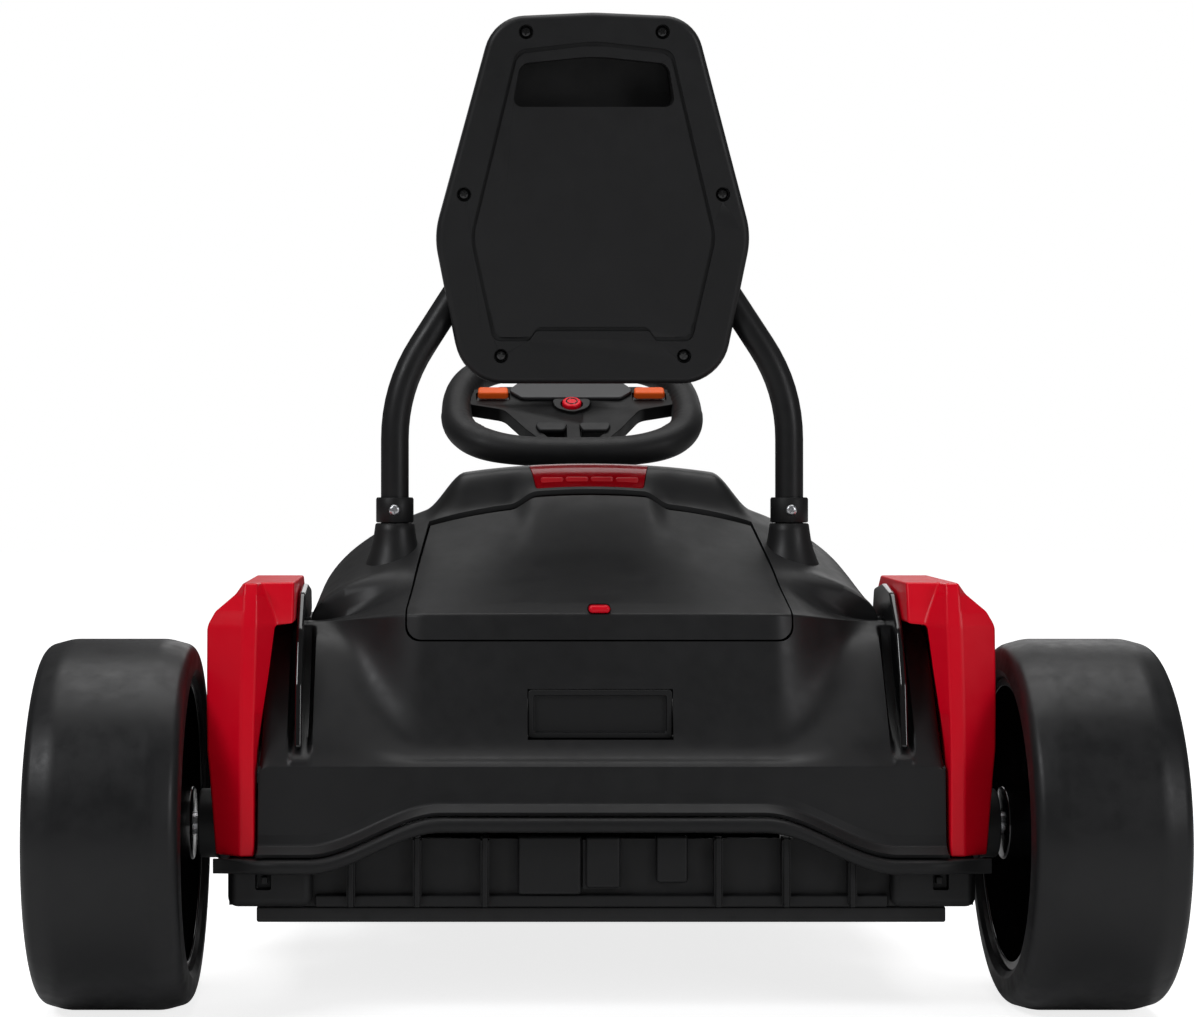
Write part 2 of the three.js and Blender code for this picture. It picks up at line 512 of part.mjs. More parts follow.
let hub = solid(extruded(hubOutline, 2 * HUB_T).translate(0, 0, -HUB_T))
  .subtract(solid(extruded(hubWindow, 40).translate(0, 0, -20)))
  .add(solid(rod("z", 26, -22, -HUB_T + 1, 0, 0, 20)))
  .subtract(solid(rod("z", COLUMN_R + GAP, -30, -12)))
  .subtract(solid(rod("z", BUTTON.r + RUN, HUB_T - BUTTON_SEAT - 3, HUB_T + 9, ...BUTTON.horn, 20)))
  .subtract(solid(buttonCut(-BUTTON.signalX, BUTTON.signalY))).subtract(solid(buttonCut(BUTTON.signalX, BUTTON.signalY)));
// The grip is moulded round the spoke ends, so the hub is cut back to it with a fine gap.
const fatRing = grip.scale([1, 1, 1.04]).add(grip.scale([1.005, 1.007, 1])).add(grip.scale([0.994, 0.991, 1]));
hub = hub.subtract(fatRing);
hub = hub.decompose().reduce((a, b) => (a.volume() > b.volume() ? a : b));
add("steering_hub", hub, gloss, helm);
add("horn_button", rod("z", BUTTON.r, HUB_T - BUTTON_SEAT, BUTTON.top, ...BUTTON.horn, 20), red, helm);
SIDES.forEach(([name, side]) => {
  const x = side * BUTTON.signalX;
  add(`signal_button_${name}`, box(x - BUTTON.w, x + BUTTON.w, BUTTON.signalY - BUTTON.h, BUTTON.signalY + BUTTON.h,
    HUB_T - BUTTON_SEAT, BUTTON.top), orange, helm);
});
const COLUMN_END = -330;
const column = join(rod("z", COLUMN_R, COLUMN_END, -12 - GAP), box(-7, 7, -CRANK, 0, COLUMN_END - 8, COLUMN_END),
  rod("z", COLUMN_R, COLUMN_END - 8, COLUMN_END + 1),
  rod("z", FINGER_R, COLUMN_END - 46, COLUMN_END, 0, -CRANK, 12));
add("steering_column", column, paint, helm);

// The bracket that carries the lower end of the column on the chassis floor.
const BRACKET = { from: -292, to: -268, half: 58, leg: 8, y: [588, 634] };
const bracketBlock = solid(box(-BRACKET.half, BRACKET.half, -16, 16, BRACKET.from, BRACKET.to))
  .rotate([(STEERING.lean * 180) / Math.PI, 0, 0]).translate([0, STEERING.y, STEERING.z]);
const columnBore = (r) => solid(rod("z", r, -360, -40, 0, 0, 20))
  .rotate([(STEERING.lean * 180) / Math.PI, 0, 0]).translate([0, STEERING.y, STEERING.z]);
let bracket = bracketBlock;
SIDES.forEach(([, s]) => {
  const [x0, x1] = s > 0 ? [BRACKET.half - BRACKET.leg, BRACKET.half] : [-BRACKET.half, -BRACKET.half + BRACKET.leg];
  bracket = bracket.add(solid(box(x0, x1, ...BRACKET.y, floorTop + GAP, 205)));
});
add("column_bracket", bracket.subtract(columnBore(COLUMN_R + RUN)), paint);

// ---------------------------------------------------------------- nose, side pods, seat base and front bumper
const noseStations = [[428, 150, 318], [440, 150, 336], [500, 149, 338], [570, 146, 322], [640, 142, 294],
  [720, 140, 262], [800, 140, 232], [860, 132, 200], [886, 118, 168]];
const NOSE_FOOT = TUB.top + 0.9;
const noseRow = ([y, half, top]) => Array.from({ length: 13 }, (_, j) => {
  const t = Math.PI * (1 - j / 12);
  const [c, s] = [Math.cos(t), Math.sin(t)];
  return new THREE.Vector3(half * Math.sign(c) * Math.abs(c) ** 0.6, y, NOSE_FOOT + (top - NOSE_FOOT) * Math.abs(s) ** 0.7);
});
const nose = wall(noseStations.map(noseRow).reverse(), SHELL);
add("nose_cowl", nose.subtract(columnBore(COLUMN_R + 4)), black);
const podStations = [[172.5, 0.97], [200, 1], [380, 1], [480, 0.96], [535, 0.8], [560, 0.55]];
const podLine = [[265, 112], [268, 180], [262, 235], [250, 253], [232, 257], [214, 254], [203, 240],
  [196.6, 200], [196.6, 112]];
SIDES.forEach(([name, side]) => {
  const rows = podStations.map(([y, k]) => podLine.map(([x, z]) =>
    new THREE.Vector3(side * (233 + (x - 233) * lerp(1, k, 0.5)), y, 112 + (z - 112) * k)));
  add(`side_pod_${name}`, wall(side > 0 ? rows : rows.toReversed(), SHELL), black);
});
const SEAT_BASE = { half: 150, y: [172.5, 400], top: 168 };
add("seat_base", solid(box(-SEAT_BASE.half, SEAT_BASE.half, ...SEAT_BASE.y, floorTop + GAP, SEAT_BASE.top))
  .subtract(solid(box(-SEAT_BASE.half + SHELL, SEAT_BASE.half - SHELL, SEAT_BASE.y[0] + SHELL, SEAT_BASE.y[1] - SHELL,
    floorTop, SEAT_BASE.top - SHELL))), black);
const cushionPlan = rounded([[-140, 178, 24], [140, 178, 24], [134, 392, 40], [-134, 392, 40]], 4);
add("seat_cushion", extruded(cushionPlan, 38).translate(0, 0, SEAT_BASE.top + GAP), leather);
const bumperColumns = [-236, -200, -150, -144, -60, 0, 60, 144, 150, 200, 236];
add("front_bumper", loft(bumperColumns.map((x) => {
  const bow = LENGTH - REAR_TYRE_R - 44 * (Math.abs(x) / 236) ** 2.4;
  const back = Math.min(TUB.front + GAP, bow - 20);
  const inner = Math.abs(x) > 145 ? bow - 26 : TUB.front + GAP;
  return [[inner, 92], [bow - 6, 92], [bow, 104], [bow, 136], [bow - 8, 150], [Math.max(inner, back), 150]]
    .map(([y, z]) => new THREE.Vector3(x, y, z));
})), black);

// ---------------------------------------------------------------- pedals
const pedalProfile = [[-7, -2], [-2, -7], [7, 0], [6, 4], [-36, 84], [-42, 81]];
[["brake_pedal", -1], ["throttle_pedal", 1]].forEach(([name, side]) => {
  const pad = extruded(pedalProfile, 52).rotateX(Math.PI / 2).rotateZ(Math.PI / 2);
  const made = solid(pad).add(solid(rod("x", 8, 0, 52, 0, 0, 16)))
    .subtract(solid(rod("x", PEDAL.shaftR + RUN, -1, 53, 0, 0, 16)))
    .translate([side * PEDAL.x - 26, PEDAL.y, PEDAL.z]);
  add(name, made, darkBlack);
});

// ---------------------------------------------------------------- backrest and its tube hoop
const seat = new THREE.Group();
seat.position.set(0, 82, SEAT_BOTTOM_Z);
seat.rotation.x = SEAT_LEAN;
kart.add(seat);
// Half outline of the backrest, from the bottom centre to the top centre, as shares of its size.
const H = SEAT_HEIGHT;
const seatOutline = (inset) => {
  const half = [[0, inset], [96 - inset, inset, 34], [117 - inset, 0.4 * H, 40], [74 - inset, H - inset, 30], [0, H - inset + 3]];
  const corners = [...half, ...half.slice(1, -1).reverse().map(([x, y, r]) => [-x, y, r])];
  return rounded(corners, 3);
};
const slab = (inset, from, to) => solid(extruded(seatOutline(inset), to - from).rotateX(Math.PI / 2).translate(0, to, 0));
const HOOP_DEPTH = COVER_T + 1 + POST_R; // the hoop's centre, in front of the cover's rear face
const toSeat = (y, z) => {
  const [dy, dz] = [y - seat.position.y, z - seat.position.z];
  const [c, s] = [Math.cos(SEAT_LEAN), Math.sin(SEAT_LEAN)];
  return [dy * c + dz * s, -dy * s + dz * c];
};
const [footDepth, footUp] = toSeat(POST_Y, POST_FOOT_Z + 1);
const [kneeDepth, kneeUp] = toSeat(POST_Y, 426);
const hoopSide = (s) => [[s * POST_X, footDepth, footUp], [s * POST_X, ...toSeat(POST_Y, 370)],
  [s * POST_X, kneeDepth, kneeUp], [s * 122.5, HOOP_DEPTH - 1.5, 30], [s * 96, HOOP_DEPTH, 70], [s * 68, HOOP_DEPTH, 116]];
const hoopPath = [...hoopSide(-1), [-40, HOOP_DEPTH, 140], [0, HOOP_DEPTH, 146], [40, HOOP_DEPTH, 140],
  ...hoopSide(1).reverse()];
add("seat_hoop", bar(hoopPath, POST_R, 44, 8, 0.5), paint, seat);
const hoopRoom = solid(bar(hoopPath, POST_R + 0.8, 44, 8, 0.5));
const screwSpots = [[-50, H - 17], [50, H - 17], [-97, 0.5 * H], [97, 0.5 * H], [-69, 22], [69, 22]];
const SCREW_R = 3.2;
const SCREW_HEAD = { r: 5, depth: 6 };
let cover = slab(0, 0, COVER_T).subtract(solid(extruded(rounded(
  [[-62, 196, 8], [62, 196, 8], [54, 234, 14], [-54, 234, 14]], 3), 40).rotateX(Math.PI / 2).translate(0, 20, 0)
  .translate(0, 0, H - 276 + 2)));
screwSpots.forEach(([x, z]) => {
  cover = cover.subtract(solid(rod("y", SCREW_HEAD.r + GAP, -1, SCREW_HEAD.depth, x, z, 8)))
    .subtract(solid(rod("y", SCREW_R + GAP, -1, COVER_T + 1, x, z, 8)));
});
add("backrest_cover", cover, black, seat);
let seatShell = slab(3, COVER_T + GAP, COVER_T + SHELL_DEPTH)
  .subtract(slab(9, COVER_T - 1, COVER_T + SHELL_DEPTH - 7));
screwSpots.forEach(([x, z]) => {
  seatShell = seatShell.add(solid(rod("y", 7, COVER_T + GAP, COVER_T + SHELL_DEPTH - 3, x, z, 8)));
});
seatShell = seatShell.subtract(hoopRoom);
screwSpots.forEach(([x, z]) => {
  seatShell = seatShell.subtract(solid(rod("y", SCREW_R + GAP, COVER_T - 1, COVER_T + 22, x, z, 8)));
});
add("backrest_shell", seatShell, darkBlack, seat);
add("backrest_pad", slab(14, COVER_T + SHELL_DEPTH + GAP, COVER_T + SHELL_DEPTH + PAD_T), leather, seat);
screwSpots.forEach(([x, z], i) => {
  add(`cover_screw_${i + 1}`, join(rod("y", SCREW_HEAD.r, 3, SCREW_HEAD.depth - GAP, x, z, 8),
    rod("y", SCREW_R, 4, COVER_T + 20, x, z, 8)), paint, seat);
});
SIDES.forEach(([name, side]) => {
  const x = side * POST_X;
  const sleeveBolt = solid(rod("y", SCREW_R + GAP, POST_Y - 30, POST_Y - POST_R + 1, x, (SLEEVE_Z[0] + SLEEVE_Z[1]) / 2, 8));
  add(`post_sleeve_${name}`, solid(rod("z", SLEEVE_R, ...SLEEVE_Z, x, POST_Y, 16))
    .subtract(solid(rod("z", POST_R + GAP + 0.1, 300, 400, x, POST_Y, 16))).subtract(sleeveBolt), black);
  add(`sleeve_screw_${name}`, join(
    rod("y", SCREW_R, POST_Y - SLEEVE_R - 1, POST_Y - POST_R - 0.5, x, (SLEEVE_Z[0] + SLEEVE_Z[1]) / 2, 8),
    rod("y", SCREW_R + 1.2, POST_Y - SLEEVE_R - 2.6, POST_Y - SLEEVE_R - 0.6, x, (SLEEVE_Z[0] + SLEEVE_Z[1]) / 2, 8)), zinc);
});

// ---------------------------------------------------------------- the part's own frame
kart.position.y = REAR_TYRE_R - LENGTH / 2;
const part = new THREE.Group();
part.add(kart);
export default part;
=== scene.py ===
"""Looks of the drift kart: fine surfaces, materials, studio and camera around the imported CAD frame."""
import json
import math

import bpy
import bmesh
import numpy as np
from mathutils import Matrix, Vector
from mathutils.bvhtree import BVHTree


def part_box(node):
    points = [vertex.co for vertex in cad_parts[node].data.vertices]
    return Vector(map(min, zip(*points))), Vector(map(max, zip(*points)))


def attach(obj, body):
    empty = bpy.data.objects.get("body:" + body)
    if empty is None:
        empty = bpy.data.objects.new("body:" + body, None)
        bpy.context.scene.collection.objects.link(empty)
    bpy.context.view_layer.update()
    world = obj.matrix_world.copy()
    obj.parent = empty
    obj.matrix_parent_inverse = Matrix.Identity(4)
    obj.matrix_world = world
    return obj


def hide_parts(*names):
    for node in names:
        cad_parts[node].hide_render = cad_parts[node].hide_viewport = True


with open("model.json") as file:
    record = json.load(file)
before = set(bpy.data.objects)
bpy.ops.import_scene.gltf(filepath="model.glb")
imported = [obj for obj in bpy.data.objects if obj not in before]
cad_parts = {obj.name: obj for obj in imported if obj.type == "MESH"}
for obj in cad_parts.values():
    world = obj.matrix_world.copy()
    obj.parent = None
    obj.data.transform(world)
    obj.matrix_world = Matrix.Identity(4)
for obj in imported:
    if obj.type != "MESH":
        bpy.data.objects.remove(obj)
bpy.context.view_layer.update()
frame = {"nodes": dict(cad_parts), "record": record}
NODES = frame["nodes"]
SCENE = bpy.context.scene
SIDES = (("left", -1), ("right", 1))
MM = 0.001
TAU = 2 * math.pi
AXLE_Y = (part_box("rear_axle")[0].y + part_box("rear_axle")[1].y) / 2  # shapes are measured from the rear axle


# ---------------------------------------------------------------- camera and studio
def aim(obj, target):
    obj.rotation_euler = (Vector(target) - obj.location).to_track_quat("-Z", "Y").to_euler()


camera = bpy.data.objects.new("camera", bpy.data.cameras.new("camera"))
SCENE.collection.objects.link(camera)
camera.location = (-0.096, AXLE_Y - 1.94, 0.39)
camera.rotation_euler = (math.radians(90), 0, 0)
camera.data.lens = 82.0
camera.data.shift_x, camera.data.shift_y = 0.112, -0.041
SCENE.camera = camera


def softbox(name, place, target, size, power, tint=(1, 1, 1)):
    light = bpy.data.lights.new(name, "AREA")
    light.shape, light.size, light.size_y = "RECTANGLE", *size
    light.energy, light.color = power, tint
    obj = bpy.data.objects.new(name, light)
    SCENE.collection.objects.link(obj)
    obj.location = place
    aim(obj, target)


softbox("key", (-2.2, -2.4, 2.4), (0, -0.3, 0.2), (1.0, 1.0), 34, (0.97, 0.98, 1))
softbox("fill", (2.2, -2.6, 1.2), (0, -0.3, 0.2), (0.8, 1.2), 17, (0.98, 0.98, 1))
softbox("overhead", (0, 0.1, 2.6), (0, -0.1, 0), (2.4, 2.0), 36)
softbox("front_wrap", (0.6, 3.0, 1.8), (0, 0, 0.3), (2.4, 1.6), 14)

world = bpy.data.worlds.new("studio")
SCENE.world = world
world.use_nodes = True
wn, wl = world.node_tree.nodes, world.node_tree.links
wn["Background"].inputs["Color"].default_value = (1, 1, 1, 1)
wn["Background"].inputs["Strength"].default_value = 0.10
seen = wn.new("ShaderNodeBackground")
seen.inputs["Color"].default_value = (1, 1, 1, 1)
seen.inputs["Strength"].default_value = 1.0
rays, pick = wn.new("ShaderNodeLightPath"), wn.new("ShaderNodeMixShader")
wl.new(rays.outputs["Is Camera Ray"], pick.inputs["Fac"])
wl.new(wn["Background"].outputs[0], pick.inputs[1])
wl.new(seen.outputs[0], pick.inputs[2])
wl.new(pick.outputs[0], wn["World Output"].inputs["Surface"])
SCENE.view_settings.view_transform = "Standard"


# ---------------------------------------------------------------- materials
def material(name, color, rough, *, tint=0.12, rough_var=0.06, grain=0.0, grain_size=0.6, pores=0.0,
             pore_size=1.6, metal=0.0, coat=0.0, coat_rough=0.1, sheen=0.0, ior=1.5, brushed=0.0, clear=0.0,
             glow=0.0):
    """A moulded, painted or grained surface.

    grain and pores are bump heights, and grain_size and pore_size are their sizes, all in millimetres.
    """
    m = bpy.data.materials.new(name)
    m.use_nodes = True
    nodes, links = m.node_tree.nodes, m.node_tree.links
    bsdf = nodes["Principled BSDF"]
    place = nodes.new("ShaderNodeTexCoord").outputs["Object"]

    def noise(size, detail, rough_=0.55, stretch=None):
        source = place
        if stretch:
            mapping = nodes.new("ShaderNodeMapping")
            mapping.inputs["Scale"].default_value = stretch
            links.new(place, mapping.inputs["Vector"])
            source = mapping.outputs["Vector"]
        n = nodes.new("ShaderNodeTexNoise")
        n.inputs["Scale"].default_value = 1 / (size * MM)
        n.inputs["Detail"].default_value = detail
        n.inputs["Roughness"].default_value = rough_
        links.new(source, n.inputs["Vector"])
        return n.outputs["Fac"]

    def ramp(fac, low, high):
        r = nodes.new("ShaderNodeMapRange")
        r.inputs["From Min"].default_value, r.inputs["From Max"].default_value = 0.3, 0.7
        r.inputs["To Min"].default_value, r.inputs["To Max"].default_value = low, high
        links.new(fac, r.inputs["Value"])
        return r.outputs["Result"]

    broad = noise(90, 3)
    shade = nodes.new("ShaderNodeMix")
    shade.data_type = "RGBA"
    links.new(ramp(broad, 0, 1), shade.inputs["Factor"])
    shade.inputs["A"].default_value = (*[c * (1 - tint) for c in color], 1)
    shade.inputs["B"].default_value = (*[min(1, c * (1 + tint)) for c in color], 1)
    links.new(shade.outputs["Result"], bsdf.inputs["Base Color"])
    fine = noise(14, 4, 0.6, (1, 1, 24) if brushed else None)
    links.new(ramp(fine, max(0.02, rough - rough_var), min(1, rough + rough_var)), bsdf.inputs["Roughness"])
    height = None
    for amount, size, cells in ((grain, grain_size, False), (pores, pore_size, True)):
        if not amount:
            continue
        if cells:
            v = nodes.new("ShaderNodeTexVoronoi")
            v.inputs["Scale"].default_value = 1 / (size * MM)
            v.feature = "SMOOTH_F1"
            links.new(place, v.inputs["Vector"])
            fac = v.outputs["Distance"]
        else:
            fac = noise(size, 2, 0.5)
        bump = nodes.new("ShaderNodeBump")
        bump.inputs["Strength"].default_value = 1
        bump.inputs["Distance"].default_value = amount * MM
        links.new(fac, bump.inputs["Height"])
        if height:
            links.new(height, bump.inputs["Normal"])
        height = bump.outputs["Normal"]
    if height:
        links.new(height, bsdf.inputs["Normal"])
    bsdf.inputs["Metallic"].default_value = metal
    bsdf.inputs["IOR"].default_value = ior
    bsdf.inputs["Coat Weight"].default_value = coat
    bsdf.inputs["Coat Roughness"].default_value = coat_rough
    bsdf.inputs["Sheen Weight"].default_value = sheen
    bsdf.inputs["Transmission Weight"].default_value = clear
    if glow:
        bsdf.inputs["Emission Color"].default_value = (*color, 1)
        bsdf.inputs["Emission Strength"].default_value = glow
    return m


BLACK = material("satin_black", (0.0125, 0.0126, 0.0132), 0.44, ior=1.42, grain=0.02, grain_size=0.7,
                 rough_var=0.05)
SEAT_BLACK = material("seat_black", (0.0125, 0.0127, 0.0133), 0.46, grain=0.03, grain_size=0.8, pores=0.015,
                      pore_size=1.1, ior=1.4)
DARK = material("dark_black", (0.008, 0.0081, 0.0086), 0.5, grain=0.03, grain_size=0.9, ior=1.4)
GLOSS = material("gloss_black", (0.006, 0.006, 0.0065), 0.14, coat=0.6, coat_rough=0.05, rough_var=0.03)
RED = material("satin_red", (0.88, 0.0008, 0.017), 0.34, tint=0.04, grain=0.012, grain_size=0.6, coat=0.06,
               coat_rough=0.2, ior=1.33)
LENS = material("red_lens", (0.50, 0.002, 0.010), 0.16, tint=0.04, clear=0.45, coat=0.15, coat_rough=0.05,
                ior=1.36)
# Painted glow: the lens cells give off a faint red light that stands in for light caught by the reflector; the
# lamp is not switched on.
LENS_CELL_PAINTED_GLOW = material("lens_cell", (0.45, 0.002, 0.008), 0.35, tint=0.3, glow=0.12)
ORANGE = material("orange", (0.95, 0.13, 0.014), 0.36, tint=0.05, coat=0.08, coat_rough=0.2, ior=1.36)
TREAD = material("tyre_tread", (0.0125, 0.0127, 0.0135), 0.40, grain=0.02, grain_size=1.4, rough_var=0.08,
                 ior=1.4)
PAINT = material("powder_coat", (0.0105, 0.0107, 0.0113), 0.4, pores=0.02, pore_size=0.9, ior=1.4)
ZINC = material("zinc", (0.62, 0.63, 0.65), 0.3, metal=1, rough_var=0.1, tint=0.08, brushed=1)
LEATHER = material("grip_leather", (0.0065, 0.0065, 0.007), 0.5, pores=0.09, pore_size=1.3, grain=0.03,
                   sheen=0.04, ior=1.38)
CUSHION = material("seat_leather", (0.017, 0.017, 0.018), 0.5, pores=0.12, pore_size=1.7, grain=0.05,
                   sheen=0.2)
# Painted shadow: a near-black, darker than the plastics, for the inside of the handle pocket where shade falls.
SHADOW = material("painted_shadow_black", (0.004, 0.004, 0.0042), 0.6)
PAPER = material("display_grey", (0.034, 0.035, 0.037), 0.4, tint=0.04, rough_var=0.02)
HUB = material("hub_black", (0.0045, 0.0045, 0.0048), 0.46, grain=0.015, grain_size=0.7, ior=1.32)
GREY = material("grey_plastic", (0.035, 0.037, 0.038), 0.45, grain=0.02, grain_size=0.8)
# Painted highlight: a light grey for a thin tube round the backrest's edge, standing in for the edge catching
# the light.
PAINTED_EDGE_HIGHLIGHT = material("painted_edge_highlight", (0.16, 0.16, 0.165), 0.3, tint=0.06, coat=0.2)
FLOOR = material("studio_floor", (0.86, 0.86, 0.86), 0.85, tint=0.01, grain=0.2, grain_size=5)


def light_floor(m, near=0.80, far=1.0, reach=(0.9, 4.0)):
    """A pale floor that looks evenly lit, brighter further away, and that doesn't light the kart itself."""
    nodes, links = m.node_tree.nodes, m.node_tree.links
    away, glow = nodes.new("ShaderNodeVectorMath"), nodes.new("ShaderNodeMapRange")
    seen_ = nodes.new("ShaderNodeMath")
    away.operation, seen_.operation = "LENGTH", "MULTIPLY"
    for socket, value in zip(("From Min", "From Max", "To Min", "To Max"), (*reach, near, far)):
        glow.inputs[socket].default_value = value
    bsdf = nodes["Principled BSDF"]
    links.new(nodes["Texture Coordinate"].outputs["Object"], away.inputs[0])
    links.new(away.outputs["Value"], glow.inputs["Value"])
    links.new(glow.outputs["Result"], seen_.inputs[0])
    links.new(nodes.new("ShaderNodeLightPath").outputs["Is Camera Ray"], seen_.inputs[1])
    links.new(seen_.outputs["Value"], bsdf.inputs["Emission Strength"])
    bsdf.inputs["Emission Color"].default_value = (1, 1, 1, 1)


light_floor(FLOOR)

SLOT_OF = {s["node"]: s["material_slot"] for s in frame["record"]["subparts"]}
LOOK = {"black_plastic": BLACK, "dark_plastic": DARK, "gloss_black": GLOSS, "red_plastic": RED,
        "red_lens": LENS, "orange_plastic": ORANGE, "tyre_tread": TREAD, "black_paint": PAINT,
        "zinc_steel": ZINC, "grip_leather": LEATHER, "seat_leather": CUSHION}
for node, obj in NODES.items():
    obj.data.materials.clear()
    obj.data.materials.append(LOOK[SLOT_OF[node]])


# ---------------------------------------------------------------- mesh tools
def d2y(d):
    """Metres along the kart from a distance, in millimetres, ahead of the rear axle."""
    return AXLE_Y + d * MM


ON_AXLE = Matrix.Translation((0, AXLE_Y, 0))  # moves a shape drawn about the rear axle into place
BOX_FACES = [(0, 1, 3, 2), (4, 5, 7, 6), (0, 1, 5, 4), (2, 3, 7, 6), (0, 2, 6, 4), (1, 3, 7, 5)]


def make(name, points, faces, look, smooth=32):
    """A mesh object from points in metres, with edges sharper than smooth degrees left crisp."""
    me = bpy.data.meshes.new(name)
    me.from_pydata([tuple(p) for p in points], [], [tuple(f) for f in faces])
    bm = bmesh.new()
    bm.from_mesh(me)
    bmesh.ops.remove_doubles(bm, verts=bm.verts, dist=1e-6)
    bmesh.ops.recalc_face_normals(bm, faces=bm.faces)
    bm.to_mesh(me)
    bm.free()
    obj = bpy.data.objects.new(name, me)
    SCENE.collection.objects.link(obj)
    me.materials.append(look)
    return shade(obj, smooth)


def shade(obj, angle=32):
    me = obj.data
    me.polygons.foreach_set("use_smooth", [True] * len(me.polygons))
    bm = bmesh.new()
    bm.from_mesh(me)
    limit = math.radians(angle)
    for e in bm.edges:
        e.smooth = len(e.link_faces) == 2 and e.calc_face_angle(0) < limit
    bm.to_mesh(me)
    bm.free()
    return obj


def settle(obj, *mods):
    """Adds modifiers given as (type, settings), applies them all and returns the object."""
    for kind, values in mods:
        mod = obj.modifiers.new(kind.lower(), kind)
        for key, value in values.items():
            setattr(mod, key, value)
    bpy.context.view_layer.update()
    graph = bpy.context.evaluated_depsgraph_get()
    me = bpy.data.meshes.new_from_object(obj.evaluated_get(graph))
    obj.modifiers.clear()
    old, obj.data = obj.data, me
    bpy.data.meshes.remove(old)
    return obj


def bevel(obj, width, segments=3, angle=30, smooth=40, clamp=True):
    settle(obj, ("BEVEL", dict(width=width * MM, segments=segments, limit_method="ANGLE",
                               angle_limit=math.radians(angle), harden_normals=False,
                               use_clamp_overlap=clamp)))
    shade(obj, smooth)
    return settle(obj, ("WEIGHTED_NORMAL", dict(mode="FACE_AREA", weight=100, keep_sharp=True)))


def cut(obj, *cutters, op="DIFFERENCE", solver="MANIFOLD"):
    for c in cutters:
        settle(obj, ("BOOLEAN", dict(object=c, operation=op, solver=solver)))
        bpy.data.objects.remove(c)
    return obj


def grid(rows, closed_u=False, closed_v=False):
    """Faces over a grid of points, rows first."""
    n, m = len(rows), len(rows[0])
    points = [p for row in rows for p in row]
    faces = []
    for i in range(n if closed_u else n - 1):
        for j in range(m if closed_v else m - 1):
            k, l = (i + 1) % n, (j + 1) % m
            faces.append((i * m + j, k * m + j, k * m + l, i * m + l))
    return points, faces


def capped(name, rows, look):
    """A solid through rows of points, each row a closed outline, with flat ends."""
    points, faces = grid(rows, False, True)
    m, count = len(rows[0]), len(points)
    return make(name, points, faces + [tuple(range(m)), tuple(range(count - m, count))], look)


def lathe(name, profile, x, look, *, centre=(0, 0), side=1, turns=128, smooth=32, closed=True):
    """Turns a (radius, x) profile in millimetres about the X axis at centre = (y, z) in metres."""
    rows = []
    for i in range(turns):
        a = TAU * i / turns
        rows.append([(x + side * p * MM, centre[0] + r * MM * math.sin(a), centre[1] + r * MM * math.cos(a))
                     for r, p in profile])
    return make(name, *grid(rows, True, closed), look, smooth)


def fillet(corners, steps=6, closed=True):
    """Corners (x, y) or (x, y, radius) with round arcs in place of each radius."""
    out = []
    n = len(corners)
    for i, c in enumerate(corners):
        if len(c) < 3 or not c[2] or (not closed and i in (0, n - 1)):
            out.append((c[0], c[1]))
            continue
        at = Vector(c[:2])
        back = (Vector(corners[i - 1][:2]) - at)
        on = (Vector(corners[(i + 1) % n][:2]) - at)
        reach = 0.49 * min(back.length, on.length)
        back.normalize()
        on.normalize()
        half = math.acos(max(-1, min(1, back.dot(on)))) / 2
        r = min(c[2], reach * math.tan(half))
        middle = at + (back + on).normalized() * (r / math.sin(half))
        a, b = at + back * (r / math.tan(half)) - middle, at + on * (r / math.tan(half)) - middle
        turn = math.atan2(a.x * b.y - a.y * b.x, a.dot(b))
        for k in range(steps + 1):
            t = turn * k / steps
            out.append((middle.x + a.x * math.cos(t) - a.y * math.sin(t),
                        middle.y + a.x * math.sin(t) + a.y * math.cos(t)))
    return out


def around(count):
    return np.linspace(0, TAU, count, endpoint=False)


def disc(r, x, z, count=32):
    return [(x + r * math.cos(t), z + r * math.sin(t)) for t in around(count)]


def prism(name, outline, low, high, look, axis="z", matrix=None):
    """A plan outline in millimetres pulled between two levels along an axis."""
    to = {"z": lambda p, q, h: (p, q, h), "y": lambda p, q, h: (p, h, q),
          "x": lambda p, q, h: (h, p, q)}[axis]
    n = len(outline)
    points = [Vector(to(p, q, h)) * MM for h in (low, high) for p, q in outline]
    faces = [tuple(range(n)), tuple(range(n, 2 * n))] + [(i, (i + 1) % n, n + (i + 1) % n, n + i)
        for i in range(n)]
    if matrix:
        points = [matrix @ p for p in points]
    return make(name, points, faces, look)


def spline(points, steps):
    """A Catmull-Rom line through points, with steps samples for each stretch."""
    p = [Vector(q) for q in points]
    p = [2 * p[0] - p[1], *p, 2 * p[-1] - p[-2]]
    out = []
    for i in range(1, len(p) - 2):
        for k in range(steps):
            t = k / steps
            out.append(0.5 * ((2 * p[i]) + (p[i + 1] - p[i - 1]) * t
                              + (2 * p[i - 1] - 5 * p[i] + 4 * p[i + 1] - p[i + 2]) * t * t
                              + (3 * p[i] - p[i - 1] - 3 * p[i + 1] + p[i + 2]) * t ** 3))
    return [*out, p[-2]]


def tube(name, path, radius, look, sides=24, closed=False):
    """A round bar along a path in metres."""
    path = [Vector(p) for p in path]
    n = len(path)
    rows = []
    normal = None
    for i, p in enumerate(path):
        ahead = (path[(i + 1) % n] - path[i - 1]) if closed or 0 < i < n - 1 else (
            path[1] - path[0] if i == 0 else path[-1] - path[-2])
        ahead.normalize()
        if normal is None:
            normal = ahead.orthogonal().normalized()
        normal = (normal - ahead * normal.dot(ahead)).normalized()
        side = ahead.cross(normal)
        rows.append([p + (normal * math.cos(a) + side * math.sin(a)) * radius
                     for a in (TAU * k / sides for k in range(sides))])
    points, faces = grid(rows, closed, True)
    if not closed:
        faces += [tuple(range(sides)), tuple(range((n - 1) * sides, n * sides))]
    return make(name, points, faces, look, 40)


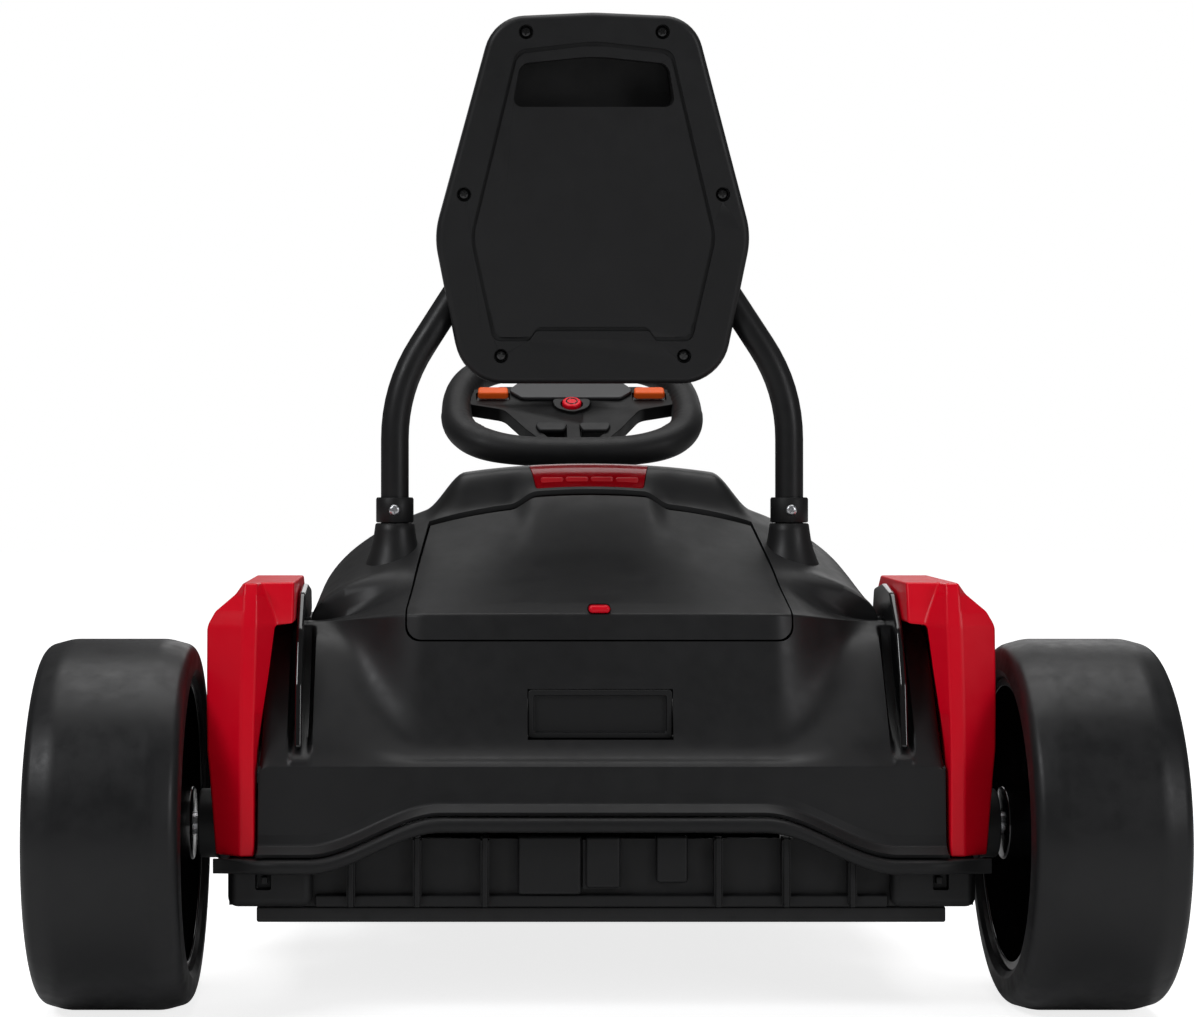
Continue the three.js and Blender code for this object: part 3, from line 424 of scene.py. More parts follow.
def fit(obj, body, nodes):
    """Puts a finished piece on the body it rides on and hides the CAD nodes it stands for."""
    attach(obj, body)
    if nodes:
        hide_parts(*nodes)
    return obj


def lerp(a, b, t):
    return a + (b - a) * t


def ease(lo, hi, v):
    t = min(1, max(0, (v - lo) / (hi - lo)))
    return t * t * (3 - 2 * t)


# ---------------------------------------------------------------- floor
floor = make("floor", [(-9, -9, 0), (9, -9, 0), (9, 9, 0), (-9, 9, 0)], [(0, 1, 2, 3)], FLOOR)

# ---------------------------------------------------------------- rear body, hatch, lens and lip
# Distances are in millimetres: a is the half width, d runs ahead of the rear axle, z is the height.
DOME_HALF, DOME_FOOT, BODY_HALF, BULKHEAD, SKIN = 207, 273, 230, 168, 3
DECK = [(-30, 277), (-22, 283), (-12, 289), (20, 306), (60, 329), (100, 350), (122, 361), (150, 372),
        (162, 366)]
HATCH = dict(rear=137, front=122, foot=262, corner=10, hinge=119.5, gap=1.3)
LENS_AT = dict(top=46.5, low=41, d=(122, 147))
PLATE = dict(x=51, z=(194, 229))
POST_X, POST_D = 147, 88  # where the seat hoop's posts stand


def deck_z(a, d):
    for (d0, z0), (d1, z1) in zip(DECK, DECK[1:]):
        if d <= d1:
            break
    crown = lerp(z0, z1, (d - d0) / (d1 - d0))
    dome = math.sqrt(max(0, 1 - (a / DOME_HALF) ** 2))
    rise = ease(118, 139, d)
    hump = (16 + 3.5 * (min(a, 95) / 85) ** 2) * rise * (1 - ease(95, 125, a))
    spine = 7.8 * ease(48, 116, d) * (1 - ease(41, 60, a)) * (1 - rise)
    return DOME_FOOT + (crown - DOME_FOOT) * dome + hump + spine


def lip_z(a):
    return lerp(147, 118, ease(111, 204, a))


def body_line(a):
    """The outside of the rear body at half width a: (d, z) from the lip over the deck to the bulkhead."""
    w = ease(122, 205, a)
    pocket = ease(201, 205, a) * (1 - ease(215, 218.5, a))  # the slot that each blade stands in

    def mix(c, e, depth=0):
        return lerp(c[0], e[0], w) + depth * pocket, lerp(c[1], e[1], w)

    edge = lip_z(a)
    skirt = [(-68, edge), (-60, edge + 5), (-58.5, edge + 12)]
    ramp = [(-56, 177), mix((-53, 180), (-51, 185)), mix((-47.5, 184), (-39, 205), 20),
            mix((-40, 195), (-14, 240), 22), mix((-34.5, 215), (4, 261), 14), mix((-30.5, 242), (16, 268), 5),
            mix((-27, 264), (22, 271)), mix((-24, 281), (26, DOME_FOOT))]
    ramp = [tuple(p) for p in spline([(*p, 0) for p in ramp], 5)]
    deck = [(*mix((d, deck_z(a, d)), (max(d, 32 + (d + 14) * 0.3), DOME_FOOT)), 0)
            if d < 30 and w else (d, deck_z(a, d), 0) for d in (-14, -2, 12, 28, 45, 62, 80, 98, 112, 120,
                126, 132, 138, 145, 152)]
    deck = [tuple(p) for p in spline(deck, 3)]
    top = deck[-1][1]
    bulkhead = [(160, top - 4), (BULKHEAD, top - 14), (BULKHEAD, top - 60 if top > 320 else top - 30),
                (BULKHEAD, 205)]
    line = [(p[0], p[1], 0) for p in skirt[:1]] + [(*skirt[1], 4), (*skirt[2], 5), (*ramp[0][:2], 3)]
    line += [(p[0], p[1], 0) for p in ramp[1:-1]] + [(*ramp[-1][:2], 4)] + [(p[0], p[1], 0)
        for p in deck[:-1]]
    line += [(*deck[-1][:2], 3), (*bulkhead[0], 3), (*bulkhead[1], 6), (*bulkhead[2], 0), (*bulkhead[3], 0)]
    return fillet(line, 4, closed=False)


def body_shell(name, look, extra=0.0):
    """The rear body's skin, outer and inner faces, as one closed mesh."""
    steps = [*np.arange(0, 36, 6.0), *np.arange(36, 196, 3.0), *np.arange(196, 206, 1.0), 206.3, DOME_HALF,
             *np.arange(208, 222, 1.0), 224, 227, BODY_HALF]
    half = [[(a, d2y(d), z) for d, z in body_line(a)] for a in steps]
    last = half[-1]
    for out, drop in ((2.2, 0.6), (4.2, 2.2), (5.6, 5), (6.4, 9)):
        half.append([(BODY_HALF + out, y, z - drop * min(1, max(0, z - 160) / 60)) for _, y, z in last])
    half.append([(238, y, 177 + max(0, z - 177) * 0.03 + min(0, z - 177)) for _, y, z in last])
    half.append([(239, y, 118 + (z - 118) * 0.03) for _, y, z in last])
    rows = [[(-x * MM, y, z * MM) for x, y, z in row] for row in half[:0:-1]]
    rows += [[(x * MM, y, z * MM) for x, y, z in row] for row in half]
    outer = np.array(rows)
    du = np.gradient(outer, axis=0)
    dv = np.gradient(outer, axis=1)
    normal = np.cross(du, dv)
    normal /= np.maximum(np.linalg.norm(normal, axis=2, keepdims=True), 1e-9)
    n, m = outer.shape[:2]
    inner = outer - normal * SKIN * MM
    if extra:
        outer = outer + normal * extra * MM
    points = [tuple(p) for p in outer.reshape(-1, 3)] + [tuple(p) for p in inner.reshape(-1, 3)]
    faces = grid(outer)[1]
    faces += [tuple(v + n * m for v in reversed(f)) for f in faces]
    ring = [i * m for i in range(n)] + [(n - 1) * m + j for j in range(1, m)]
    ring += [i * m + m - 1 for i in range(n - 2, -1, -1)] + list(range(m - 2, 0, -1))
    faces += [(a, b, b + n * m, a + n * m) for a, b in zip(ring, ring[1:] + ring[:1])]
    return make(name, points, faces, look)


def hatch_block(inset):
    sections = []
    for d, h in ((-90, HATCH["rear"]), (-10, HATCH["rear"]), (HATCH["hinge"] - 6.6 * inset, HATCH["front"])):
        h -= inset
        low = HATCH["foot"] + inset
        sections.append([(x * MM, d2y(d), z * MM)
                         for x, z in fillet([(-h, low, HATCH["corner"]), (h, low, HATCH["corner"]), (h, 440),
                             (-h, 440)], 6)])
    return capped("cutter", sections, BLACK)


def lens_block(inset):
    low, top = LENS_AT["low"] - inset, LENS_AT["top"] - inset
    d0, d1 = LENS_AT["d"][0] + inset, LENS_AT["d"][1] - inset
    plan = fillet([(-low, d0, 3), (low, d0, 3), (top, d1, 3), (-top, d1, 3)], 4)
    return prism("cutter", plan, 300, 420, BLACK, matrix=ON_AXLE)


def box_mm(name, x, d, z, look=BLACK):
    points = [(px * MM, d2y(pd), pz * MM) for pz in z for pd in d for px in x]
    return make(name, points, BOX_FACES, look)


def round_box(name, x, d, z, look, r=2, segments=3):
    return bevel(box_mm(name, x, d, z, look), r, segments)


body = body_shell("rear_shell", BLACK)
cut(body, hatch_block(0), lens_block(0), box_mm("cutter", (-PLATE["x"], PLATE["x"]), (-62, -24), PLATE["z"]))
for _, side in SIDES:
    cut(body, prism("cutter", disc(16, side * POST_X, POST_D), 290, 420, BLACK, matrix=ON_AXLE))
bevel(body, 0.7, 2, 50)
fit(body, "chassis", ["rear_body"])

hatch = body_shell("hatch_lid", BLACK)
cut(hatch, hatch_block(HATCH["gap"]), op="INTERSECT")
cut(hatch, round_box("cutter", (-8.4, 8.4), (-60, 0), (281, 288), BLACK, 3.4))
bevel(hatch, 0.7, 2, 50)
fit(hatch, "battery_hatch", ["battery_hatch"])
for side in (-1, 1):
    x = (side * 60 - 10, side * 60 + 10)
    fit(round_box(f"hatch_lug_{side + 2}", x, (98, 110), (335, 343.5), BLACK, 1.5), "battery_hatch", [])
    fit(round_box(f"hatch_tab_{side + 2}", x, (104, 126.5), (340.5, 347.5), BLACK, 1.2), "battery_hatch", [])

latch = round_box("latch_button", (-7.6, 7.6), (-25.6, -5), (281.8, 287.2), RED, 2.6, 6)
fit(latch, "hatch_latch", ["hatch_latch"])

lens = body_shell("lens_shell", LENS, 0.4)
cut(lens, lens_block(0.5), op="INTERSECT")
bevel(lens, 0.6, 2, 50)
fit(lens, "chassis", ["light_lens"])
# Lens cells with a painted glow, standing in for light caught by the reflector.
for i in range(4):
    x = -28.5 + 19 * i
    z = deck_z(abs(x), 134)
    cell = round_box(f"lens_cell_{i}", (x - 8.6, x + 8.6), (126, 143), (z - 9, z - 3.6), LENS_CELL_PAINTED_GLOW, 1.6)
    fit(cell, "chassis", [])

frame_rim = [(-50.6, 194.4, 2.5), (50.6, 194.4, 2.5), (50.6, 228.6, 2.5), (-50.6, 228.6, 2.5)]
field = [(-46.5, 198.5, 1.5), (46.5, 198.5, 1.5), (46.5, 224.5, 1.5), (-46.5, 224.5, 1.5)]
plate = prism("plate_frame", fillet(frame_rim, 4), -33, -24.5, DARK, "y", ON_AXLE)
cut(plate, prism("cutter", fillet(field, 4), -40, -29.5, DARK, "y", ON_AXLE))
fit(bevel(plate, 0.8, 3), "chassis", ["number_plate"])

rows = []
for x in [*np.linspace(-269, -225, 12), *np.linspace(-220, 220, 111), *np.linspace(225, 269, 12)]:
    a = abs(x)
    top, low = lip_z(a) - 3.6, lip_z(a) - 14
    back = -72 + 10 * ease(225, 270, a)
    section = fillet([(back, low, 4.5), (-60.5, low, 2), (-60.5, top, 1), (back, top, 4.8)], 6)
    rows.append([(x * MM, d2y(d), z * MM) for d, z in section])
fit(bevel(capped("lip", rows, DARK), 1.2, 3, 60), "chassis", ["rear_lip"])

# Post bases that flare out of the body, sleeves and their cross screws; profiles are (radius, height).
POST_BASE = [(11, 341.5), (13.6, 342.6), (14.6, 341.6), (15.2, 337), (16.3, 330), (18.4, 322), (21.5, 314),
             (25, 305), (25, 296), (11, 296)]
SLEEVE = [(10.9, 343.2), (13.4, 343.2), (14, 343.9), (14, 360.6), (13.2, 361.8), (10.9, 361.8)]


def on_post(name, side, profile, look, turns=48):
    """Turns a profile about the upright axis of one seat post."""
    rows = [[((side * POST_X + r * math.cos(t)) * MM, d2y(POST_D + r * math.sin(t)), z * MM)
             for r, z in profile]
            for t in (TAU * k / turns for k in range(turns))]
    return make(name, *grid(rows, True, True), look, 50)


for name, side in SIDES:
    fit(on_post(f"post_base_{name}", side, POST_BASE, BLACK), "chassis", [])
    fit(on_post(f"sleeve_{name}", side, SLEEVE, DARK), "chassis", [f"post_sleeve_{name}"])


def screw(name, place, r, turn, body, node, depth=2.2):
    """A pan-head cross screw that faces backwards."""
    ring = [(0.4 * r, depth * 0.96), (0.72 * r, depth * 0.8), (0.93 * r, depth * 0.5), (r, depth * 0.12),
            (r, -0.6)]
    rows = [[Vector((q * math.cos(t), -h, q * math.sin(t))) * MM
             for t in around(32)] for q, h in ring]
    head = capped(name, rows, ZINC)
    for angle in (0, 90):
        w = 0.13 * r
        slot = make("cutter", [Vector((x, y, z)) * MM for z in (-w, w) for y in (-depth - 1, -depth * 0.35)
                               for x in (-0.55 * r, 0.55 * r)],
                    BOX_FACES, ZINC)
        slot.data.transform(Matrix.Rotation(math.radians(angle + turn), 4, "Y"))
        cut(head, slot)
    head.data.transform(place)
    return fit(shade(head, 40), body, [node])


for name, side in SIDES:
    screw(f"cross_screw_{name}", Matrix.Translation((side * POST_X * MM, d2y(POST_D - 13.6), 352.5 * MM)),
          4.2, 20 * side + 12, "chassis", f"sleeve_screw_{name}")

# ---------------------------------------------------------------- side fins and blades
FIN = [  # z, then inner, lead, ridge and outer half widths, rear and front
    (115.6, 239.7, 240.1, 240.8, 268, -62, -44), (172, 239.7, 240, 240.8, 272.5, -62, -44),
    (188, 239.7, 239.2, 240.8, 274, -62, 30), (215, 239.7, 235, 240.5, 274.5, -61, 62),
    (240, 239.7, 231, 240, 274.5, -60, 92), (272.4, 238.6, 226.8, 239.3, 274.5, -58, 104),
    (275.8, 214.5, 226.2, 239.2, 273.5, -57.6, 104), (284, 214.5, 229, 239, 269, -56, 104),
    (296, 214.5, 234, 239, 255, -53, 96), (304, 214.5, 237.4, 239, 249.5, -50, 84)]
BLADE = [(-48, 187), (-26, 206), (-2, 241.5, 8), (11, 262, 8), (17, 269), (25, 272.7), (70, 272.7),
         (84, 278, 4), (78, 294, 6), (40, 299, 12), (4, 294, 14), (-26, 270, 16), (-44, 232, 14),
         (-51, 190, 2)]
for name, side in SIDES:
    rows = [[(side * x * MM, d2y(d), z * MM) for x, d in (
        (inner, rear + 18), (lead, rear + 14), (ridge, rear), (ridge + 9.5, rear), (outer, rear + 12),
        (outer, front), (inner, front))] for z, inner, lead, ridge, outer, rear, front in FIN]
    fit(bevel(capped(f"fin_{name}", rows, RED), 1.6, 5, 12, 30, clamp=False), "chassis", [f"side_fin_{name}"])
    x0, x1 = (208.4, 213.4) if side > 0 else (-213.4, -208.4)
    blade = prism(f"blade_{name}", [(d, z + 0.8) for d, z in fillet(BLADE, 6)], x0, x1, GLOSS, "x",
                  ON_AXLE)
    fit(bevel(blade, 1.8, 4, 40), "chassis", [f"side_blade_{name}"])


# ---------------------------------------------------------------- backrest, its hoop and its screws
SEAT_AT = Matrix.Translation((0, d2y(82), 446 * MM)) @ Matrix.Rotation(0.12, 4, "X")
TALL = 270


def seat_outline(inset, steps=10):
    half = [(96 - inset, inset, 36), (117.3 - inset, 110, 60), (73.5 - inset, TALL - inset, 30)]
    return fillet([*half, (0, TALL - inset + 3.2, 120), *[(-x, z, r) for x, z, r in reversed(half)]], steps)


def scaled(outline, k, centre):
    return [(centre[0] + (p - centre[0]) * k, centre[1] + (q - centre[1]) * k) for p, q in outline]


def seat_slab(name, outline, low, high, look):
    return prism(name, outline, low, high, look, "y", SEAT_AT)


hoop_plan = [Vector((POST_X, POST_D, 291)), Vector((POST_X, POST_D, 443)), Vector((97.5, 98.9, 521)),
             Vector((62, 95.6, 572)), Vector((0, 93, 594))]
hoop_line = []
for i, p in enumerate(hoop_plan[:-1]):
    if i == 0:
        hoop_line += [p.lerp(hoop_plan[1], t) for t in (0, 0.2, 0.4, 0.6, 0.74)]
        continue
    a, b = hoop_plan[i - 1], hoop_plan[i + 1]
    reach = (38, 20, 26)[i - 1]
    s, e = p + (a - p).normalized() * reach, p + (b - p).normalized() * reach
    hoop_line += [s * (1 - t) ** 2 + p * 2 * t * (1 - t) + e * t * t for t in np.linspace(0, 1, 9)]
hoop_line += [Vector((14, 93, 593.4)), Vector((0, 93, 594))]
hoop_all = [Vector((-p.x, p.y, p.z)) for p in hoop_line] + hoop_line[-2::-1]
hoop_all = [Vector((p.x * MM, d2y(p.y), p.z * MM)) for p in hoop_all]
hoop = tube("hoop_tube", hoop_all, 10.4 * MM, PAINT, 40)
fit(hoop, "chassis", ["seat_hoop"])

cover = seat_slab("rear_cover", seat_outline(0), 0, 14, SEAT_BLACK)
bevel(cover, 5, 6, 50)
panel = fillet([(-74, 32, 7), (-47, 32, 4), (-42, 39.5, 4), (42, 39.5, 4), (47, 32, 4), (74, 32, 7),
                (91, 109, 40), (57.5, 246, 10), (0, 252.5, 90), (-57.5, 246, 10), (-91, 109, 40)], 8)
inner = scaled(panel, 0.972, (0, 140))
groove = cut(seat_slab("cutter", panel, -4, 2.2, BLACK), seat_slab("cutter", inner, -6, 4, BLACK))
grip_hole = fillet([(-60, 204.5, 6), (60, 204.5, 6), (54.5, 236, 9), (0, 241.5, 120), (-54.5, 236, 9)], 8)
cut(cover, groove, seat_slab("cutter", inner, -4, 0.7, BLACK), seat_slab("cutter", grip_hole, -4, 20, BLACK))
SPOTS = [(-50, 259), (50, 259), (-95.5, 140.5), (95.5, 140.5), (-68, 21), (68, 21)]


for x, z in SPOTS:
    cut(cover, seat_slab("cutter", disc(5.4, x, z), -4, 6, BLACK))
bevel(cover, 0.7, 3, 40)
fit(cover, "chassis", ["backrest_cover"])

# The handle pocket's lining is painted shadow: a near-black sheet where the recess lies in shade.
pocket = seat_slab("handle_pocket", scaled(grip_hole, 1.045, (0, 221)), 13, 37, SHADOW)
cut(pocket, seat_slab("cutter", grip_hole, 10, 35, SHADOW))
fit(pocket, "chassis", [])

tray = seat_slab("front_tray", seat_outline(1.6), 14.3, 48, DARK)
bevel(tray, 9, 6, 50)
hollow = tube("cutter", hoop_all, 11.4 * MM, DARK, 32)
cut(tray, hollow, seat_slab("cutter", seat_outline(9), 10, 41, DARK))
bevel(tray, 0.5, 2, 50)
fit(tray, "chassis", ["backrest_shell"])

# A thin light grey tube round the backrest: a painted highlight on the shell's edge, not a real trim.
highlight_line = [SEAT_AT @ (Vector((x, 16.5, z)) * MM) for x, z in seat_outline(0.9, 8)]
fit(tube("backrest_edge_highlight", highlight_line, 1.5 * MM, PAINTED_EDGE_HIGHLIGHT, 10, closed=True), "chassis", [])

for i, (x, z) in enumerate(SPOTS):
    place = SEAT_AT @ Matrix.Translation((x * MM, 4.6 * MM, z * MM))
    piece = screw(f"recessed_screw_{i + 1}", place, 4.3, 23 * i + 10, "chassis", f"cover_screw_{i + 1}", 1.6)
    piece.data.materials.clear()
    piece.data.materials.append(GLOSS)


def stuff(obj, cap, keep, voxel=5, pressure=4.0):
    """Blows a foam block up a little by cloth simulation, no point moving further than cap millimetres.

    keep takes each point and returns it inside its allowed space.
    """
    settle(obj, ("REMESH", dict(mode="VOXEL", voxel_size=voxel * MM)))
    rest = np.array([v.co[:] for v in obj.data.vertices])
    cloth = obj.modifiers.new("cloth", "CLOTH")
    cloth.settings.effector_weights.gravity = 0
    cloth.settings.use_pressure = True
    cloth.settings.uniform_pressure_force = pressure
    cloth.settings.quality = 5
    cloth.settings.tension_stiffness = 18
    cloth.settings.bending_stiffness = 1.5
    cloth.point_cache.frame_start, cloth.point_cache.frame_end = 1, 20
    for f in range(1, 21):
        SCENE.frame_set(f)
    graph = bpy.context.evaluated_depsgraph_get()
    moved = np.array([v.co[:] for v in obj.evaluated_get(graph).data.vertices])
    obj.modifiers.clear()
    SCENE.frame_set(1)
    step = moved - rest
    far = np.linalg.norm(step, axis=1, keepdims=True)
    rest = rest + step * np.minimum(1, cap * MM / np.maximum(far, 1e-9))
    rest = np.array([keep(Vector(p)) for p in rest])
    obj.data.vertices.foreach_set("co", rest.astype(np.float32).ravel())
    settle(obj, ("SMOOTH", dict(factor=0.6, iterations=6)), ("SUBSURF", dict(levels=1, render_levels=1)))
    return shade(obj, 60)


def against_shell(p):
    q = SEAT_AT.inverted() @ p
    q.y = max(48.5 * MM, min(q.y, 79.5 * MM))
    return SEAT_AT @ q


pad = bevel(seat_slab("back_pad", seat_outline(17), 49, 73, CUSHION), 8, 4, 50)
stuff(pad, 7, against_shell)
fit(pad, "chassis", ["backrest_pad"])
piping = [SEAT_AT @ (Vector((x, 52, z)) * MM) for x, z in seat_outline(12, 6)]
fit(tube("back_pad_piping", piping, 2.4 * MM, LEATHER, 12, closed=True), "chassis", [])


SEAM_R = 1.2  # of a sewn cord


def seam(name, obj, plan, frame_, down):
    """A sewn cord laid on the surface of obj; plan points are in frame_, and down points at obj."""
    tree = BVHTree.FromPolygons([v.co for v in obj.data.vertices], [p.vertices for p in obj.data.polygons])
    ray = (frame_.to_3x3() @ Vector(down)).normalized()
    line = []
    for p in spline(plan, 12):
        start = frame_ @ (p * MM)
        hit = tree.ray_cast(start, ray)[0]
        if hit:
            line.append(hit - ray * 0.2 * MM)
    return fit(tube(name, line, SEAM_R * MM, LEATHER, 8), "chassis", [])


for name, side in SIDES:
    plan = [Vector((side * x, 120, z)) for x, z in ((37, 27), (47, 108), (41, 180), (31, 243))]
    seam(f"back_seam_{name}", pad, plan, SEAT_AT, (0, -1, 0))

# ---------------------------------------------------------------- steering wheel
HELM = Matrix.Translation((0, d2y(468), 431 * MM)) @ Matrix.Rotation(0.5585, 4, "X")


def ring_at(t):
    """The grip's centre line: wide, rounded, flatter at the bottom."""
    c, s = math.cos(t), math.sin(t)
    x = 102 * math.copysign(abs(c) ** (0.46 if s > 0 else 0.66), c)
    y = (82 if s > 0 else 65) * math.copysign(abs(s) ** (0.9 if s > 0 else 0.8), s)
    return Vector((x, y, 0))


turns = 160
rows = []
for i in range(turns):
    t = TAU * i / turns
    centre = ring_at(t)
    ahead = (ring_at(t + 0.01) - ring_at(t - 0.01)).normalized()
    out = ahead.cross(Vector((0, 0, 1)))
    low = max(0, -math.sin(t))
    fat = 12.6 + 1.2 * math.exp(-((abs(math.cos(t)) - 0.75) / 0.3) ** 2)
    row = []
    for k in range(32):
        a = TAU * k / 32
        r = fat
        if abs(math.cos(t)) > 0.72 and math.cos(a) < -0.1:  # finger ribs on the inner side of the hand grips
            r += 0.5 * math.cos(t * 90) * min(1, -math.cos(a) * 1.6)
        row.append(centre + out * r * math.cos(a) * (1.04 if low else 1) + Vector((0, 0, r * math.sin(a))))
    rows.append([HELM @ (p * MM) for p in row])
grip = make("wheel_grip", *grid(rows, True, True), LEATHER, 60)
fit(grip, "steering", ["steering_grip"])


def helm_slab(name, outline, low, high, look):
    return prism(name, outline, low, high, look, "z", HELM)


hub = helm_slab("wheel_hub", fillet([(-42, -34, 8), (-24, -60, 6), (24, -60, 6), (42, -34, 8), (60, -2, 14),
                                     (96, 9, 4), (96, 31, 4), (62, 38, 10), (-62, 38, 10), (-96, 31, 4),
                                     (-96, 9, 4), (-60, -2, 14)], 6), -8, 5, HUB)
for side in (-1, 1):
    window = [(side * p, q) for p, q in ((6, -52), (20, -52), (30, -36), (6, -30))]
    cut(hub, helm_slab("cutter", fillet([(*p, 3) for p in window], 4), -20, 20, GLOSS))
    cut(hub, helm_slab("cutter", fillet([(side * 69.5 - 14.8, 14.2, 2), (side * 69.5 + 14.8, 14.2, 2),
                                         (side * 69.5 + 14.8, 27.8, 2), (side * 69.5 - 14.8, 27.8, 2)], 4), 2,
                                         20, GLOSS))
bevel(hub, 1.6, 4, 40)
cut(hub, helm_slab("cutter", disc(9.8, 0, 4), 2, 30, GLOSS))
fit(hub, "steering", ["steering_hub"])
core = helm_slab("wheel_core", fillet([(-30, -26, 10), (30, -26, 10), (46, 8, 12), (46, 34, 8), (-46, 34, 8),
                                       (-46, 8, 12)], 6),
                 -20, -8.5, DARK)
fit(bevel(core, 4, 4, 40), "steering", [])
bezel = helm_slab("start_bezel", fillet([(-17, 13, 4), (17, 13, 4), (15, -2, 12), (0, -10, 10),
                                         (-15, -2, 12)], 8), 4.6, 7.4, DARK)
cut(bezel, helm_slab("cutter", disc(9.9, 0, 4), 0, 30, DARK))
fit(bevel(bezel, 1.3, 4, 40), "steering", [])
screen = helm_slab("display", fillet([(-56, 27, 6), (-44, 13.5, 10), (44, 13.5, 10), (56, 27, 6), (46, 41, 6),
                                      (-46, 41, 6)], 6),
                   5.2, 8.4, PAPER)
fit(bevel(screen, 1.2, 4, 40), "steering", [])
w = 15
for i, x in enumerate((-19, 19)):
    paddle = helm_slab(f"lower_pad_{i}", fillet([(x - w, -28, 4), (x + w, -28, 4), (x + w - 4, -41, 4),
        (x - w + 4, -41, 4)], 5),
                       4.4, 8, DARK)
    fit(bevel(paddle, 1.4, 4, 40), "steering", [])

start = helm_slab("start_button", disc(8.4, 0, 4, 48), 4.8, 10.2, RED)
fit(bevel(start, 1.8, 5, 40), "horn_button", ["horn_button"])
dimple = [[HELM @ (Vector((q * math.cos(t), 4 + q * math.sin(t), 10.35 + h)) * MM)
           for t in around(40)] for q, h in ((5.4, -0.2), (5.0, 0.35), (4.4, 0.35), (4.0, -0.2))]
fit(make("start_ring", *grid(dimple, True, True), GLOSS), "horn_button", [])
for name, side in SIDES:
    x = side * 69.5
    key = fillet([(x - 13.6, 15.4, 3), (x + 13.6, 15.4, 3), (x + 13.2, 26.6, 3), (x - 13.2, 26.6, 3)], 6)
    piece = helm_slab(f"signal_key_{name}", key, 4.8, 11.8, ORANGE)
    fit(bevel(piece, 1.8, 5, 40), f"signal_button_{name}", [f"signal_button_{name}"])


# ---------------------------------------------------------------- wheels
def block(x, d, z):
    """Points and faces of a plain box in millimetres, for meshes made of many."""
    return ([Vector((px, pd, pz)) for pz in z for pd in d for px in x],
            BOX_FACES)


def gather(name, parts, look, matrix=Matrix.Identity(4)):
    points, faces = [], []
    for p, f in parts:
        faces += [tuple(v + len(points) for v in face) for face in f]
        points += [matrix @ (q * MM) for q in p]
    return make(name, points, faces, look)


REAR_R, FRONT_R, FRONT_AXLE_D = 131, 100, 720


def wheel(end, name, side, r, width, out, hub_in, hub_r, bore, centre, body):
    """A smooth wide tyre and its deep dished rim with ribs behind and spokes in front."""
    x0, x1, seat = out - width, out, r - 27
    k = r / REAR_R
    tyre = fillet([(seat + 0.3, x0 + 3), (seat + 5, x0 + 0.4, 2.5), (r - 5 * k, x0 + 1.4, 9 * k),
                   (r, x0 + 20 * k, 34 * k), (r, x1 - 20 * k, 34 * k), (r - 5 * k, x1 - 1.4, 9 * k),
                   (seat + 5, x1 - 0.4, 2.5), (seat + 0.3, x1 - 3)], 8)
    piece = lathe(f"{end}_tread_{name}", tyre, 0, TREAD, centre=centre, side=side, turns=160, smooth=50)
    fit(piece, body, [f"{end}_tyre_{name}"])
    f = x1 - 30
    rim = fillet([(0, f + 2), (bore, f + 2), (bore, hub_in), (hub_r, hub_in, 2), (hub_r, f - 9, 5),
                  (seat - 5, f - 14, 8), (seat - 5, x0 + 9, 3), (seat - 8, x0 + 5.2, 1.2),
                  (seat, x0 + 5.2, 1), (seat, x1 - 5.2, 1), (seat - 8, x1 - 5.2, 1.2), (seat - 5, x1 - 10, 3),
                  (seat - 5, f - 7, 8), (hub_r + 8, f, 3), (hub_r - 4, f, 1), (hub_r - 4, f + 6, 3),
                  (hub_r - 9, f + 11.5, 3), (0, f + 11.5)], 5)
    piece = lathe(f"{end}_rim_{name}_dish", rim, 0, GLOSS, centre=centre, side=side, turns=128, smooth=40)
    fit(piece, body, [f"{end}_rim_{name}"])
    parts = []
    count = 10 if end == "rear" else 8
    for i in range(count):
        turn = Matrix.Rotation(TAU * i / count, 4, "X")
        low, high = hub_r + 4, seat - 5.6
        spoke = [Vector((x, side_ * w, rr)) for x in (f - 9, f + 1.5)
                 for rr, w in ((low, 6.5 * k), (high, 4.2 * k)) for side_ in (-1, 1)]
        parts.append(([turn @ Vector((side * p.x, p.y, p.z)) for p in spoke],
                      BOX_FACES))
        turn = Matrix.Rotation(TAU * (i + 0.5) / count, 4, "X")
        p, q = block((f - 34 * k, f - 12), (-1.8, 1.8), (hub_r - 1, high))
        parts.append(([turn @ Vector((side * v.x, v.y, v.z)) for v in p], q))
    spokes = gather(f"{end}_spokes_{name}", parts, GLOSS, Matrix.Translation((0, *centre)))
    fit(bevel(spokes, 1.3, 3, 40), body, [])


